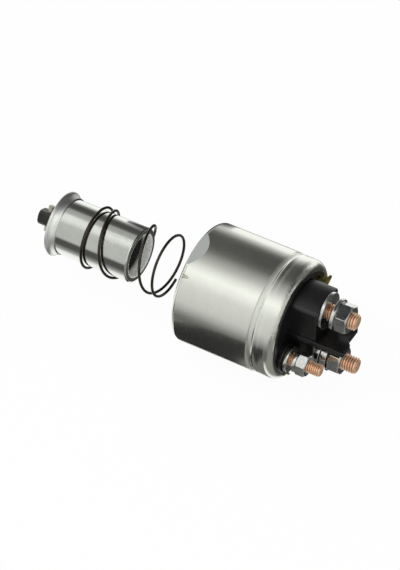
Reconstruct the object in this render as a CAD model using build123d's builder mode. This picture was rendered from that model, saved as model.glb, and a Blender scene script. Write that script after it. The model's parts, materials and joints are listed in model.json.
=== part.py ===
"""Starter solenoid, shown with its plunger drawn right out of the housing.

Millimetres. X is the solenoid's axis: X = 0 is the housing's front mounting face, the
terminals point to +X and the plunger leaves towards -X. Z is up.
"""

from build123d import *
import math
import os

os.makedirs("parts", exist_ok=True)

# Housing can
can_r = 29.5
can_wall = 2.0
front_wall = 5.0
front_corner_r = 3.0
rear_band_length = 12.7
groove_depth = 0.7
groove_width = 2.3
groove_ramp = 0.7
bead_drop = 0.2
can_length = 53.2
lip_curl_r = 3.9
mount_pcd = 46.0
mount_hole_count = 3
mount_hole_r = 2.1
flat_angle = 104.0
flat_length = 8.0
flat_depth = 1.3

# Clearances
running_gap = 0.05
fitting_gap = 0.15
moving_gap = 0.3
washer_block_gap = 0.4

# Plunger and its collar
plunger_r = 13.7
plunger_length = 42.7
plunger_bore_r = 9.4
plunger_floor = 11.7
plunger_chamfer = 0.6
plunger_tip_x = -32.5
collar_length = 4.5
collar_rim_r = 16.2
collar_neck_wall = 0.6
collar_overhang = 0.8
collar_rim_width = 0.9
collar_flare_sag = 0.5

# Brass sleeve, coil and core
sleeve_wall = 0.7
sleeve_recess = 0.5
bobbin_tube_wall = 1.0
bobbin_flange_t = 1.5
bobbin_can_gap = 0.7
bobbin_rim = 2.3
pull_in_share = 5 / 9
wrap_t = 0.4
core_nose_length = 6.5
core_flange_t = 4.0
seal_t = 1.5
seal_width = 1.75

# Terminal cap
cap_floor_drop = 1.0
cap_floor_t = 2.2
cap_ring_height = 1.3
cap_ring_width = 2.6
cap_skirt_wall = 4.5
block_inset = 0.65
block_corner_r = 3.0
block_edge_r = 0.6
upper_block_half = 10.6
upper_block_height = 14.3
lower_block_height = 12.3
shelf_z = 0.2
shelf_t = 2.5
shelf_half = 11.2
shelf_height = 28.8
shelf_notch_depth = 1.8
shelf_notch_half = 4.0
shelf_cut_length = 4.0
shelf_cut_width = 4.2
switch_boss_r = 7.2
switch_boss_height = 2.8
spring_pocket_r = 5.0
spring_pocket_depth = 8.0

# Terminals: place of each stud, its thread and what is stacked on it
big_stud_r = 4.0
big_nut_flats = 13.0
big_nut_t = 6.0
small_stud_r = 3.0
small_nut_flats = 10.0
small_nut_t = 5.0
battery_y = 0.0
battery_drop = 0.95
motor_y = 0.0
motor_drop = 0.75
switch_inset = 7.43
switch_angle = 211.46
battery_lug_room = 3.3
switch_lug_room = 2.2
battery_thread_out = 3.2
motor_thread_out = 6.8
switch_thread_out = 6.4
battery_base_r = 9.3
motor_base_r = 8.2
switch_base_r = 6.4
base_washer_t = 1.5
motor_base_t = 2.0
battery_lug_washer_r = 8.0
battery_lug_washer_t = 1.7
motor_spring_washer_r = 7.2
motor_spring_washer_t = 4.1
switch_spring_washer_r = 5.2
switch_spring_washer_t = 1.6
big_head_r = 7.0
big_head_t = 2.5
small_head_r = 4.0
small_head_t = 1.7
thread_seat_drop = 0.5
stud_chamfer = 0.6
battery_nut_turn = 24.0
motor_nut_turn = 11.0
switch_nut_turn = 32.0

# Winding leads and their solder tags
lead_r = 0.6
lead_hole_gap = 0.1
upper_tag_gap = 0.35
upper_lead_angle = 28.8
upper_lead_top = 2.3
lower_lead_reach = 7.4
lower_lead_angle = 247.7
lower_lead_top = 2.0
tag_t = 0.8
tag_width = 4.0
tag_length = 4.0
tag_height = 5.5
tag_overhang = 2.9
tag_ring_gap = 0.5
tag_notch_depth = 1.6
tag_notch_half = 0.8
tab_ring_r = 5.6
tab_width = 3.6
tab_overhang = 1.6

# Pull rod
rod_r = 4.2
rod_end_x = -87.6
rod_step_x = -62.5
rod_tail_r = 3.0
rod_tail_x = -41.0
rod_head_r = 4.2
rod_head_t = 1.5
rod_shoulder_r = 6.0
rod_shoulder_t = 1.5
rod_shoulder_gap = 0.1
rod_flats = 7.0
rod_flats_length = 8.4
rod_chamfer = 0.8
pin_r = 1.6
pin_length = 13.0
pin_back = 4.6
pin_tilt = 26.0
pin_chamfer = 0.3
seat_r = 9.1
seat_t = 1.5

# Springs
return_wire_r = 0.68
return_mean_r = 15.0
return_x0 = -58.8
return_x1 = -17.2
return_turns = 3.2
return_closed_turns = 0.9
return_closed_gap = 0.07
engage_wire_r = 0.8
engage_mean_r = 7.2
engage_turns = 5.0
contact_wire_r = 0.4
contact_spring_mean_r = 3.95
contact_spring_turns = 3.0
contact_return_mean_r = 3.9
contact_return_turns = 6.0

# Moving contact
contact_travel = 2.9
contact_meet_gap = 0.1
contact_rest_gap = 0.2
contact_rod_r = 3.0
contact_rod_reach = 11.6
contact_rod_tail = 0.7
contact_rod_chamfer = 0.6
contact_shoulder_r = 4.9
contact_shoulder_t = 1.0
contact_shoulder_drop = 5.5
contact_pocket_r = 5.4
contact_disc_gap = 5.85
contact_disc_t = 2.0
insulator_r = 6.5
insulator_t = 0.8
insulator_hub_r = 4.0
clip_r = 4.4
clip_t = 0.9

# Stations worked out from the sizes above
can_bore_r = can_r - can_wall
barrel_length = can_length - rear_band_length
curl_x = can_length - lip_curl_r
curl_centre_r = can_r - bead_drop - lip_curl_r
inner_curl_r = can_bore_r - curl_centre_r
sleeve_bore_r = plunger_r + running_gap
sleeve_r = sleeve_bore_r + sleeve_wall
bobbin_bore_r = sleeve_r + running_gap
coil_core_r = bobbin_bore_r + bobbin_tube_wall
bobbin_flange_r = can_bore_r - bobbin_can_gap
hold_in_coil_r = bobbin_flange_r - bobbin_rim
pull_in_coil_r = coil_core_r + pull_in_share * (hold_in_coil_r - coil_core_r)
cap_floor_x = can_length - cap_floor_drop
cap_ceiling_x = cap_floor_x - cap_floor_t
cap_ring_r = curl_centre_r - fitting_gap
cap_ring_x = cap_floor_x + cap_ring_height
cap_ring_bore_r = cap_ring_r - cap_ring_width
block_arc_r = cap_ring_bore_r - block_inset
big_head_x = cap_ceiling_x - big_head_t
contact_disc_x = big_head_x - contact_meet_gap - contact_travel - contact_disc_t
insulator_x = contact_disc_x - insulator_t
core_x1 = insulator_x - contact_rest_gap
core_x0 = core_x1 - core_flange_t - core_nose_length
core_flange_r = can_bore_r - fitting_gap
cap_x0 = core_x1 + seal_t
cap_cavity_r = core_flange_r - cap_skirt_wall
contact_disc_r = cap_cavity_r - contact_disc_gap
contact_shoulder_x = core_x1 - contact_shoulder_drop
bobbin_x1 = core_x1 - core_flange_t
bobbin_length = bobbin_x1 - front_wall
coil_x0 = front_wall + bobbin_flange_t
coil_x1 = bobbin_x1 - bobbin_flange_t
plunger_back_x = plunger_tip_x - plunger_length
plunger_floor_x = plunger_back_x + plunger_floor
upper_block_x = cap_floor_x + upper_block_height
lower_block_x = cap_floor_x + lower_block_height
shelf_x = cap_floor_x + shelf_height
switch_boss_x = cap_floor_x + switch_boss_height
battery_z = can_r / 2 - battery_drop
motor_z = motor_drop - can_r / 2
switch_y = (cap_ring_r - switch_inset) * math.cos(math.radians(switch_angle))
switch_z = (cap_ring_r - switch_inset) * math.sin(math.radians(switch_angle))
lower_block_half = -switch_y - switch_base_r - washer_block_gap
battery_washer_x = upper_block_x + base_washer_t + battery_lug_room
battery_nut_x = battery_washer_x + battery_lug_washer_t
motor_washer_x = lower_block_x + motor_base_t
motor_nut_x = motor_washer_x + motor_spring_washer_t
switch_tab_x = switch_boss_x + tag_t
switch_washer_x = switch_tab_x + base_washer_t + switch_lug_room
switch_nut_x = switch_washer_x + switch_spring_washer_t
battery_end_x = battery_nut_x + big_nut_t + battery_thread_out
motor_end_x = motor_nut_x + big_nut_t + motor_thread_out
switch_end_x = switch_nut_x + small_nut_t + switch_thread_out
lower_lead_y = switch_y + lower_lead_reach * math.cos(math.radians(lower_lead_angle))
lower_lead_z = switch_z + lower_lead_reach * math.sin(math.radians(lower_lead_angle))
upper_lead_radius = cap_ring_bore_r - upper_tag_gap - tag_length / 2
upper_lead_y = upper_lead_radius * math.cos(math.radians(upper_lead_angle))
upper_lead_z = upper_lead_radius * math.sin(math.radians(upper_lead_angle))
lead_places = [(upper_lead_y, upper_lead_z), (lower_lead_y, lower_lead_z)]


def across(x):
    """Plane across the axis at the station x, with Y to the right and Z up."""
    return Plane.YZ.offset(x)


def save(part, name):
    """Label a finished piece and write its file."""
    part.label = name
    export_step(part, f"parts/{name}.step")


def ring(x, thickness, outer_r, bore_r, y=0.0, z=0.0):
    """Flat ring across the axis, from the station x towards +X."""
    with BuildPart() as piece:
        with BuildSketch(across(x)):
            with Locations((y, z)):
                Circle(outer_r)
                Circle(bore_r, mode=Mode.SUBTRACT)
        extrude(amount=thickness)
    return piece.part


def hex_nut(x, thickness, flats, bore_r, turn, y, z):
    """Hexagon nut with its outer corners chamfered on both faces."""
    corner_r = flats / 2 / math.cos(math.radians(30))
    chamfer_height = (corner_r - flats / 2) * math.tan(math.radians(30))
    with BuildPart() as nut:
        with BuildSketch(across(x)):
            with Locations((y, z)):
                RegularPolygon(flats / 2, 6, major_radius=False, rotation=turn)
        extrude(amount=thickness)
        with BuildSketch(across(x)):
            with Locations((y, z)):
                Circle(corner_r)
        extrude(amount=thickness, mode=Mode.INTERSECT)
        with BuildSketch(Plane.XZ.offset(-y)):
            with BuildLine():
                Polyline(
                    (x, z),
                    (x, z + flats / 2),
                    (x + chamfer_height, z + corner_r),
                    (x + thickness - chamfer_height, z + corner_r),
                    (x + thickness, z + flats / 2),
                    (x + thickness, z),
                    close=True,
                )
            make_face()
        revolve(axis=Axis((0, y, z), (1, 0, 0)), mode=Mode.INTERSECT)
        with BuildSketch(across(x)):
            with Locations((y, z)):
                Circle(bore_r)
        extrude(amount=thickness, mode=Mode.SUBTRACT)
    return nut.part


def coil_spring(x0, x1, mean_r, wire_r, turns):
    """Round-wire spring of even pitch about the axis, right-handed, between two stations."""
    start, height = x0 + wire_r, x1 - x0 - 2 * wire_r
    with BuildPart() as spring:
        with BuildLine() as path:
            Helix(height / turns, height, mean_r, center=(start, 0, 0), direction=(1, 0, 0))
        with BuildSketch(Plane(origin=path.line @ 0, z_dir=path.line % 0)):
            Circle(wire_r)
        sweep(is_frenet=True)
    return spring.part


# Housing can: drawn steel, its rear lip rolled in over the terminal cap's shoulder, and a
# sloped locating flat ground on its front corner
with BuildPart() as housing_can:
    with BuildSketch(Plane.XZ):
        with BuildLine():
            Line((0, sleeve_r + running_gap), (0, can_r - front_corner_r))
            CenterArc((front_corner_r, can_r - front_corner_r), front_corner_r, 90, 90)
            Polyline(
                (front_corner_r, can_r),
                (barrel_length, can_r),
                (barrel_length + groove_ramp, can_r - groove_depth),
                (barrel_length + groove_width, can_r - groove_depth),
                (barrel_length + groove_width + groove_ramp, can_r - bead_drop),
                (curl_x, can_r - bead_drop),
            )
            CenterArc((curl_x, curl_centre_r), lip_curl_r, 0, 90)
            Line((can_length, curl_centre_r), (curl_x + inner_curl_r, curl_centre_r))
            CenterArc((curl_x, curl_centre_r), inner_curl_r, 0, 90)
            Polyline(
                (curl_x, can_bore_r),
                (front_wall, can_bore_r),
                (front_wall, sleeve_r + running_gap),
                (0, sleeve_r + running_gap),
            )
        make_face()
    revolve(axis=Axis.X)
    with BuildSketch(across(0)):
        with PolarLocations(mount_pcd / 2, mount_hole_count, start_angle=90):
            Circle(mount_hole_r)
    extrude(amount=front_wall, mode=Mode.SUBTRACT)
    outward = Vector(0, math.cos(math.radians(flat_angle)), math.sin(math.radians(flat_angle)))
    flat_slope = Vector(flat_length, 0, 0) + outward * flat_depth
    flat_start = outward * (can_r - flat_depth)
    with BuildSketch(
        Plane(origin=flat_start, x_dir=flat_slope, z_dir=outward * flat_length - Vector(flat_depth, 0, 0))
    ):
        Rectangle(2 * flat_length, 2 * can_r)
    extrude(amount=can_r, mode=Mode.SUBTRACT)
save(housing_can.part, "housing_can")

# Brass sleeve that the plunger runs in, open at the front face
save(
    ring(sleeve_recess, bobbin_x1 - sleeve_recess, sleeve_r, sleeve_bore_r),
    "bore_sleeve",
)

# Bobbin with a flange at each end; the leads leave through the rear flange
with BuildPart() as coil_bobbin:
    with BuildSketch(across(front_wall)):
        Circle(coil_core_r)
    extrude(amount=bobbin_length)
    with BuildSketch(across(front_wall), across(coil_x1)):
        Circle(bobbin_flange_r)
    extrude(amount=bobbin_flange_t)
    with BuildSketch(across(front_wall)):
        Circle(bobbin_bore_r)
    extrude(amount=bobbin_length, mode=Mode.SUBTRACT)
    with BuildSketch(across(coil_x1)):
        with Locations(*lead_places):
            Circle(lead_r + lead_hole_gap)
    extrude(amount=bobbin_flange_t, mode=Mode.SUBTRACT)
save(coil_bobbin.part, "coil_bobbin")

# Windings, one over the other, and the wrap round them
coil_length = coil_x1 - coil_x0
save(ring(coil_x0, coil_length, pull_in_coil_r, coil_core_r), "pull_in_coil")
save(ring(coil_x0, coil_length, hold_in_coil_r, pull_in_coil_r), "hold_in_coil")
save(ring(coil_x0, coil_length, hold_in_coil_r + wrap_t, hold_in_coil_r), "coil_wrap")

# Fixed core: flange across the can, nose inside the sleeve, bore for the contact rod
with BuildPart() as fixed_core:
    with BuildSketch(across(core_x0)):
        Circle(plunger_r)
    extrude(amount=core_nose_length)
    with BuildSketch(across(bobbin_x1)):
        Circle(core_flange_r)
    extrude(amount=core_flange_t)
    with BuildSketch(across(core_x0)):
        Circle(contact_rod_r + running_gap)
    extrude(amount=core_nose_length + core_flange_t, mode=Mode.SUBTRACT)
    with BuildSketch(across(contact_shoulder_x - moving_gap)):
        Circle(contact_pocket_r)
    extrude(amount=core_x1 - contact_shoulder_x + moving_gap, mode=Mode.SUBTRACT)
    with BuildSketch(across(bobbin_x1)):
        with Locations(*lead_places):
            Circle(lead_r + lead_hole_gap)
    extrude(amount=core_flange_t, mode=Mode.SUBTRACT)
save(fixed_core.part, "fixed_core")
save(ring(core_x1, seal_t, core_flange_r, core_flange_r - seal_width), "cap_seal")

# Terminal cap: shouldered disc under the lip, raised ring, two stud blocks, barrier shelf
with BuildPart() as terminal_cap:
    with BuildSketch(Plane.XZ):
        with BuildLine():
            Polyline(
                (cap_ceiling_x, 0),
                (cap_ceiling_x, cap_cavity_r),
                (cap_x0, cap_cavity_r),
                (cap_x0, core_flange_r),
                (curl_x, core_flange_r),
            )
            CenterArc((curl_x, curl_centre_r), inner_curl_r - fitting_gap, 0, 90)
            Polyline(
                (curl_x + inner_curl_r - fitting_gap, curl_centre_r),
                (curl_x + inner_curl_r - fitting_gap, cap_ring_r),
                (cap_ring_x, cap_ring_r),
                (cap_ring_x, cap_ring_bore_r),
                (cap_floor_x, cap_ring_bore_r),
                (cap_floor_x, 0),
                (cap_ceiling_x, 0),
            )
        make_face()
    revolve(axis=Axis.X)
    with BuildSketch(across(cap_ceiling_x)) as upper_block:
        Circle(block_arc_r)
        Rectangle(
            2 * upper_block_half, block_arc_r, align=(Align.CENTER, Align.MIN), mode=Mode.INTERSECT
        )
        fillet(upper_block.vertices().group_by(Axis.Z)[-1], block_corner_r)
    extrude(amount=upper_block_x - cap_ceiling_x)
    with BuildSketch(across(cap_ceiling_x)) as lower_block:
        Circle(block_arc_r)
        Rectangle(
            2 * lower_block_half, block_arc_r, align=(Align.CENTER, Align.MAX), mode=Mode.INTERSECT
        )
        fillet(lower_block.vertices().group_by(Axis.Z)[0], block_corner_r)
    extrude(amount=lower_block_x - cap_ceiling_x)
    fillet(terminal_cap.faces().sort_by(Axis.X)[-1].edges(), block_edge_r)
    with BuildSketch(across(cap_ceiling_x)):
        with Locations((switch_y, switch_z)):
            Circle(switch_boss_r)
    extrude(amount=switch_boss_x - cap_ceiling_x)
    with BuildSketch(Plane.XY.offset(shelf_z)):
        with BuildLine():
            Polyline(
                (cap_floor_x, -shelf_half),
                (shelf_x, -shelf_half),
                (shelf_x, -shelf_notch_half),
                (shelf_x - shelf_notch_depth, -shelf_notch_half + shelf_notch_depth),
                (shelf_x - shelf_notch_depth, shelf_half - shelf_cut_width),
                (shelf_x - shelf_notch_depth - shelf_cut_length, shelf_half),
                (cap_floor_x, shelf_half),
                close=True,
            )
        make_face()
    extrude(amount=shelf_t)
    for stud_y, stud_z, stud_r in (
        (battery_y, battery_z, big_stud_r),
        (motor_y, motor_z, big_stud_r),
        (switch_y, switch_z, small_stud_r),
    ):
        with BuildSketch(across(cap_ceiling_x)):
            with Locations((stud_y, stud_z)):
                Circle(stud_r + running_gap)
        extrude(amount=upper_block_x - cap_ceiling_x, mode=Mode.SUBTRACT)
    with BuildSketch(across(cap_ceiling_x)):
        Circle(spring_pocket_r)
    extrude(amount=spring_pocket_depth, mode=Mode.SUBTRACT)
    with BuildSketch(across(cap_x0)):
        with Locations(*lead_places):
            Circle(lead_r + lead_hole_gap)
    extrude(amount=switch_boss_x - cap_x0, mode=Mode.SUBTRACT)
save(terminal_cap.part, "terminal_cap")


def terminal_stud(y, z, stud_r, head_r, head_t, nut_x, nut_t, end_x):
    """Headed copper stud; its thread is drawn a little smaller where the nut is screwed on."""
    with BuildPart() as stud:
        with BuildSketch(across(cap_ceiling_x - head_t)):
            with Locations((y, z)):
                Circle(head_r)
        extrude(amount=head_t)
        with BuildSketch(across(cap_ceiling_x)):
            with Locations((y, z)):
                Circle(stud_r)
        extrude(amount=end_x - cap_ceiling_x)
        chamfer(stud.edges().filter_by(GeomType.CIRCLE).sort_by(Axis.X)[-1], stud_chamfer)
        with BuildSketch(across(nut_x)):
            with Locations((y, z)):
                Circle(stud_r)
                Circle(stud_r - thread_seat_drop, mode=Mode.SUBTRACT)
        extrude(amount=nut_t, mode=Mode.SUBTRACT)
    return stud.part


# Studs and nuts of the three terminals
stud_sizes = {
    "battery": (battery_y, battery_z, big_stud_r, big_head_r, big_head_t),
    "motor": (motor_y, motor_z, big_stud_r, big_head_r, big_head_t),
    "switch": (switch_y, switch_z, small_stud_r, small_head_r, small_head_t),
}
nut_sizes = {
    "battery": (battery_nut_x, big_nut_t, big_nut_flats, battery_nut_turn, battery_end_x),
    "motor": (motor_nut_x, big_nut_t, big_nut_flats, motor_nut_turn, motor_end_x),
    "switch": (switch_nut_x, small_nut_t, small_nut_flats, switch_nut_turn, switch_end_x),
}
for terminal, (y, z, stud_r, head_r, head_t) in stud_sizes.items():
    nut_x, nut_t, flats, turn, end_x = nut_sizes[terminal]
    stud = terminal_stud(y, z, stud_r, head_r, head_t, nut_x, nut_t, end_x)
    save(stud, f"{terminal}_stud")
    nut_bore_r = stud_r - thread_seat_drop + running_gap
    save(hex_nut(nut_x, nut_t, flats, nut_bore_r, turn, y, z), f"{terminal}_nut")

# Washers stacked on the studs
washer_sizes = {
    "battery_base_washer": (upper_block_x, base_washer_t, battery_base_r, "battery"),
    "battery_lug_washer": (
        battery_washer_x,
        battery_lug_washer_t,
        battery_lug_washer_r,
        "battery",
    ),
    "motor_base_washer": (lower_block_x, motor_base_t, motor_base_r, "motor"),
    "motor_spring_washer": (
        motor_washer_x,
        motor_spring_washer_t,
        motor_spring_washer_r,
        "motor",
    ),
    "switch_base_washer": (switch_tab_x, base_washer_t, switch_base_r, "switch"),
    "switch_spring_washer": (
        switch_washer_x,
        switch_spring_washer_t,
        switch_spring_washer_r,
        "switch",
    ),
}
for name, (x, thickness, outer_r, terminal) in washer_sizes.items():
    y, z, stud_r, head_r, head_t = stud_sizes[terminal]
    save(ring(x, thickness, outer_r, stud_r + fitting_gap, y, z), name)

# Solder tag of the upper lead: a foot on the cap's floor and, along the foot's side, a
# forked flag that reaches out over the ring
with BuildPart() as upper_solder_tag:
    with BuildSketch(across(cap_floor_x)):
        with Locations((upper_lead_y, upper_lead_z)):
            Rectangle(tag_length, tag_width, rotation=upper_lead_angle)
            Circle(lead_r + lead_hole_gap, mode=Mode.SUBTRACT)
    extrude(amount=tag_t)
    lead_turn = math.radians(upper_lead_angle)
    tag_outward = Vector(0, math.cos(lead_turn), math.sin(lead_turn))
    tag_side = Vector(0, -math.sin(lead_turn), math.cos(lead_turn))
    flag_origin = tag_outward * (upper_lead_radius - tag_length / 2) + tag_side * (tag_width / 2)
    flag_x = cap_floor_x + tag_height
    fork_x = cap_ring_x + tag_ring_gap
    fork_reach = tag_length + tag_overhang
    fork_middle_x = (fork_x + flag_x) / 2
    with BuildSketch(Plane(origin=flag_origin, x_dir=(1, 0, 0), z_dir=tag_side)):
        with BuildLine():
            Polyline(
                (cap_floor_x, 0),
                (cap_floor_x, tag_length),
                (fork_x, tag_length),
                (fork_x, fork_reach),
                (fork_middle_x - tag_notch_half, fork_reach),
                (fork_middle_x, fork_reach - tag_notch_depth),
                (fork_middle_x + tag_notch_half, fork_reach),
                (flag_x, fork_reach),
                (flag_x, 0),
                close=True,
            )
        make_face()
    extrude(amount=-tag_t)
save(upper_solder_tag.part, "upper_solder_tag")

# Solder tab of the lower lead: a ring under the switch stud's base washer, with a tail
with BuildPart() as lower_solder_tab:
    with BuildSketch(across(switch_boss_x)):
        tail_length = lower_lead_reach + tab_overhang
        tail_angle = math.radians(lower_lead_angle)
        tail_middle = (
            switch_y + tail_length / 2 * math.cos(tail_angle),
            switch_z + tail_length / 2 * math.sin(tail_angle),
        )
        with Locations((switch_y, switch_z)):
            Circle(tab_ring_r)
        with Locations(tail_middle):
            Rectangle(tail_length, tab_width, rotation=lower_lead_angle)
        with Locations((switch_y, switch_z)):
            Circle(small_stud_r + fitting_gap, mode=Mode.SUBTRACT)
        with Locations((lower_lead_y, lower_lead_z)):
            Circle(lead_r + lead_hole_gap, mode=Mode.SUBTRACT)
    extrude(amount=tag_t)
save(lower_solder_tab.part, "lower_solder_tab")

# Winding leads, from the rear of the coil through core and cap to their tags
lead_tops = [cap_floor_x + tag_t + upper_lead_top, switch_tab_x + lower_lead_top]
for name, place, top_x in zip(("upper_coil_lead", "lower_coil_lead"), lead_places, lead_tops):
    with BuildPart() as lead:
        with BuildSketch(across(coil_x1)):
            with Locations(place):
                Circle(lead_r)
        extrude(amount=top_x - coil_x1)
    save(lead.part, name)

# Plunger: steel, hollow from its inner end, with the rod's hole through its floor
with BuildPart() as plunger_core:
    with BuildSketch(across(plunger_back_x)):
        Circle(plunger_r)
    extrude(amount=plunger_length)
    with BuildSketch(across(plunger_floor_x)):
        Circle(plunger_bore_r)
    extrude(amount=plunger_tip_x - plunger_floor_x, mode=Mode.SUBTRACT)
    tip_edges = plunger_core.faces().sort_by(Axis.X)[-1].edges()
    chamfer(tip_edges, plunger_chamfer)
    with BuildSketch(across(plunger_back_x)):
        Circle(rod_r + running_gap)
    extrude(amount=plunger_floor, mode=Mode.SUBTRACT)
save(plunger_core.part, "plunger_core")

# Spring collar: sheet ring flared like a trumpet at the plunger's outer end
with BuildPart() as spring_collar:
    collar_back_x = plunger_back_x - collar_overhang
    neck_r = plunger_r + running_gap + collar_neck_wall
    flare_x = collar_back_x + collar_rim_width
    with BuildSketch(Plane.XZ):
        with BuildLine():
            Line(
                (collar_back_x + collar_length, plunger_r + running_gap),
                (collar_back_x + collar_length, neck_r),
            )
            SagittaArc((collar_back_x + collar_length, neck_r), (flare_x, collar_rim_r), collar_flare_sag)
            Polyline(
                (flare_x, collar_rim_r),
                (collar_back_x, collar_rim_r),
                (collar_back_x, collar_rim_r - collar_rim_width),
                (plunger_back_x, plunger_r + running_gap),
                (collar_back_x + collar_length, plunger_r + running_gap),
            )
        make_face()
    revolve(axis=Axis.X)
save(spring_collar.part, "spring_collar")

# Pull rod: hook end with two flats and a cross hole, shoulder, and a riveted tail
pin_direction = Vector(0, math.sin(math.radians(pin_tilt)), math.cos(math.radians(pin_tilt)))
pin_centre = Vector(rod_end_x + pin_back, 0, 0)
with BuildPart() as pull_rod:
    with BuildSketch(across(rod_end_x)):
        Circle(rod_r)
    extrude(amount=rod_step_x - rod_end_x)
    chamfer(pull_rod.edges().sort_by(Axis.X)[0], rod_chamfer)
    with BuildSketch(across(plunger_back_x - rod_shoulder_gap - rod_shoulder_t)):
        Circle(rod_shoulder_r)
    extrude(amount=rod_shoulder_t)
    with BuildSketch(across(rod_step_x)):
        Circle(rod_tail_r)
    extrude(amount=rod_tail_x - rod_step_x)
    with BuildSketch(across(rod_tail_x - rod_head_t)):
        Circle(rod_head_r)
    extrude(amount=rod_head_t)
    with BuildSketch(across(rod_end_x)):
        Circle(2 * rod_r)
        Rectangle(4 * rod_r, rod_flats, rotation=-pin_tilt, mode=Mode.SUBTRACT)
    extrude(amount=rod_flats_length, mode=Mode.SUBTRACT)
    with BuildSketch(Plane(origin=pin_centre, z_dir=pin_direction)):
        Circle(pin_r + running_gap)
    extrude(amount=rod_r, both=True, mode=Mode.SUBTRACT)
save(pull_rod.part, "pull_rod")

with BuildPart() as cross_pin:
    with BuildSketch(Plane(origin=pin_centre, z_dir=pin_direction)):
        Circle(pin_r)
    extrude(amount=pin_length / 2, both=True)
    chamfer(cross_pin.edges().filter_by(GeomType.CIRCLE), pin_chamfer)
save(cross_pin.part, "cross_pin")

seat_x = rod_tail_x - rod_head_t - seat_t
save(ring(seat_x, seat_t, seat_r, rod_tail_r + running_gap), "spring_seat")

# Springs
engage_spring = coil_spring(
    plunger_floor_x + running_gap, seat_x - running_gap, engage_mean_r, engage_wire_r, engage_turns
)
save(engage_spring, "engagement_spring")

# Return spring: open turns in the middle and a closed turn at each end
closed_height = (2 * return_wire_r + return_closed_gap) * return_closed_turns
open_height = return_x1 - return_x0 - 2 * return_wire_r - 2 * closed_height
with BuildPart() as return_spring:
    with BuildLine() as wire_line:
        spring_x = return_x0 + return_wire_r
        spring_turn = 0.0
        for turns, height in (
            (return_closed_turns, closed_height),
            (return_turns, open_height),
            (return_closed_turns, closed_height),
        ):
            wire = Helix(
                height / turns,
                height,
                return_mean_r,
                center=(spring_x, 0, 0),
                direction=(1, 0, 0),
                mode=Mode.PRIVATE,
            )
            add(wire.rotate(Axis.X, spring_turn))
            spring_x += height
            spring_turn += 360 * turns
    with BuildSketch(Plane(origin=wire_line.line @ 0, z_dir=wire_line.line % 0)):
        Circle(return_wire_r)
    sweep(is_frenet=True)
save(return_spring.part, "return_spring")

# Moving contact: rod, copper disc between two insulators, clip and springs
rear_insulator_x = contact_disc_x + contact_disc_t
clip_x = rear_insulator_x + insulator_t
contact_rod_tip_x = core_x0 - contact_rod_reach
contact_rod_end_x = clip_x + clip_t + contact_rod_tail
with BuildPart() as contact_rod:
    with BuildSketch(across(contact_rod_tip_x)):
        Circle(contact_rod_r)
    extrude(amount=contact_rod_end_x - contact_rod_tip_x)
    chamfer(contact_rod.edges().filter_by(GeomType.CIRCLE), contact_rod_chamfer)
    with BuildSketch(across(contact_shoulder_x)):
        Circle(contact_shoulder_r)
    extrude(amount=contact_shoulder_t)
save(contact_rod.part, "contact_rod")

with BuildPart() as front_insulator:
    with BuildSketch(across(insulator_x)):
        Circle(insulator_r)
    extrude(amount=insulator_t)
    with BuildSketch(across(contact_disc_x)):
        Circle(insulator_hub_r)
    extrude(amount=contact_disc_t)
    with BuildSketch(across(insulator_x)):
        Circle(contact_rod_r + running_gap)
    extrude(amount=insulator_t + contact_disc_t, mode=Mode.SUBTRACT)
save(front_insulator.part, "front_insulator")
save(
    ring(contact_disc_x, contact_disc_t, contact_disc_r, insulator_hub_r + running_gap),
    "contact_disc",
)
save(
    ring(rear_insulator_x, insulator_t, insulator_r, contact_rod_r + running_gap),
    "rear_insulator",
)
save(ring(clip_x, clip_t, clip_r, contact_rod_r + running_gap), "rod_clip")
contact_spring = coil_spring(
    contact_shoulder_x + contact_shoulder_t + running_gap,
    insulator_x - running_gap,
    contact_spring_mean_r,
    contact_wire_r,
    contact_spring_turns,
)
save(contact_spring, "contact_spring")
contact_return_spring = coil_spring(
    clip_x + clip_t + running_gap,
    cap_ceiling_x + spring_pocket_depth - running_gap,
    contact_return_mean_r,
    contact_wire_r,
    contact_return_turns,
)
save(contact_return_spring, "contact_return_spring")
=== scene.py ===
"""Starter solenoid: its visible pieces, finishes and studio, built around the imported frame.

Metres. X is the solenoid's axis: X = 0 is the housing's front face, the terminals point to
+X and the plunger is drawn out towards -X. Z is up. Outlines are written in millimetres.
"""

import json
import math

import bmesh
import bpy
from bpy.props import FloatProperty, FloatVectorProperty, IntProperty, PointerProperty
from mathutils import Matrix, Vector

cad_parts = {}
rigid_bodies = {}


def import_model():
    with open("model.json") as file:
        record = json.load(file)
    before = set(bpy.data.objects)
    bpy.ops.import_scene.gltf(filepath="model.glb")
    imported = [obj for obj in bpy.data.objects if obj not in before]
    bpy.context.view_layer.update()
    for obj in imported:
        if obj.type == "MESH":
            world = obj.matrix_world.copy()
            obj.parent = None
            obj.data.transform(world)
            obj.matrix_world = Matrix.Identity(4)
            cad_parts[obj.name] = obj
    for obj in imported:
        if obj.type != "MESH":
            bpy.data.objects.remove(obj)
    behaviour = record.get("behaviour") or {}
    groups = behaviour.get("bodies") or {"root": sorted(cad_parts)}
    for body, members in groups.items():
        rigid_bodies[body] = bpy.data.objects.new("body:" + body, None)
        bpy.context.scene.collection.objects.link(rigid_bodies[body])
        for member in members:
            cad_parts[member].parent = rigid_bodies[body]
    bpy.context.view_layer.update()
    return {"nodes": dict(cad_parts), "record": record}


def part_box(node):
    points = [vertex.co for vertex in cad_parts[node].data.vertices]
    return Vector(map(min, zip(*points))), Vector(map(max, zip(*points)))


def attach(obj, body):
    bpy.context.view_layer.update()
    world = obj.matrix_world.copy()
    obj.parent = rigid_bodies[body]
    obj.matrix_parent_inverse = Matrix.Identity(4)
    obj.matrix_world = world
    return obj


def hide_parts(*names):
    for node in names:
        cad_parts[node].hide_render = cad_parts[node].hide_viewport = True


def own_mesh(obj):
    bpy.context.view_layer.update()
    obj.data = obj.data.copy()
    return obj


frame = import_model()

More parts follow.
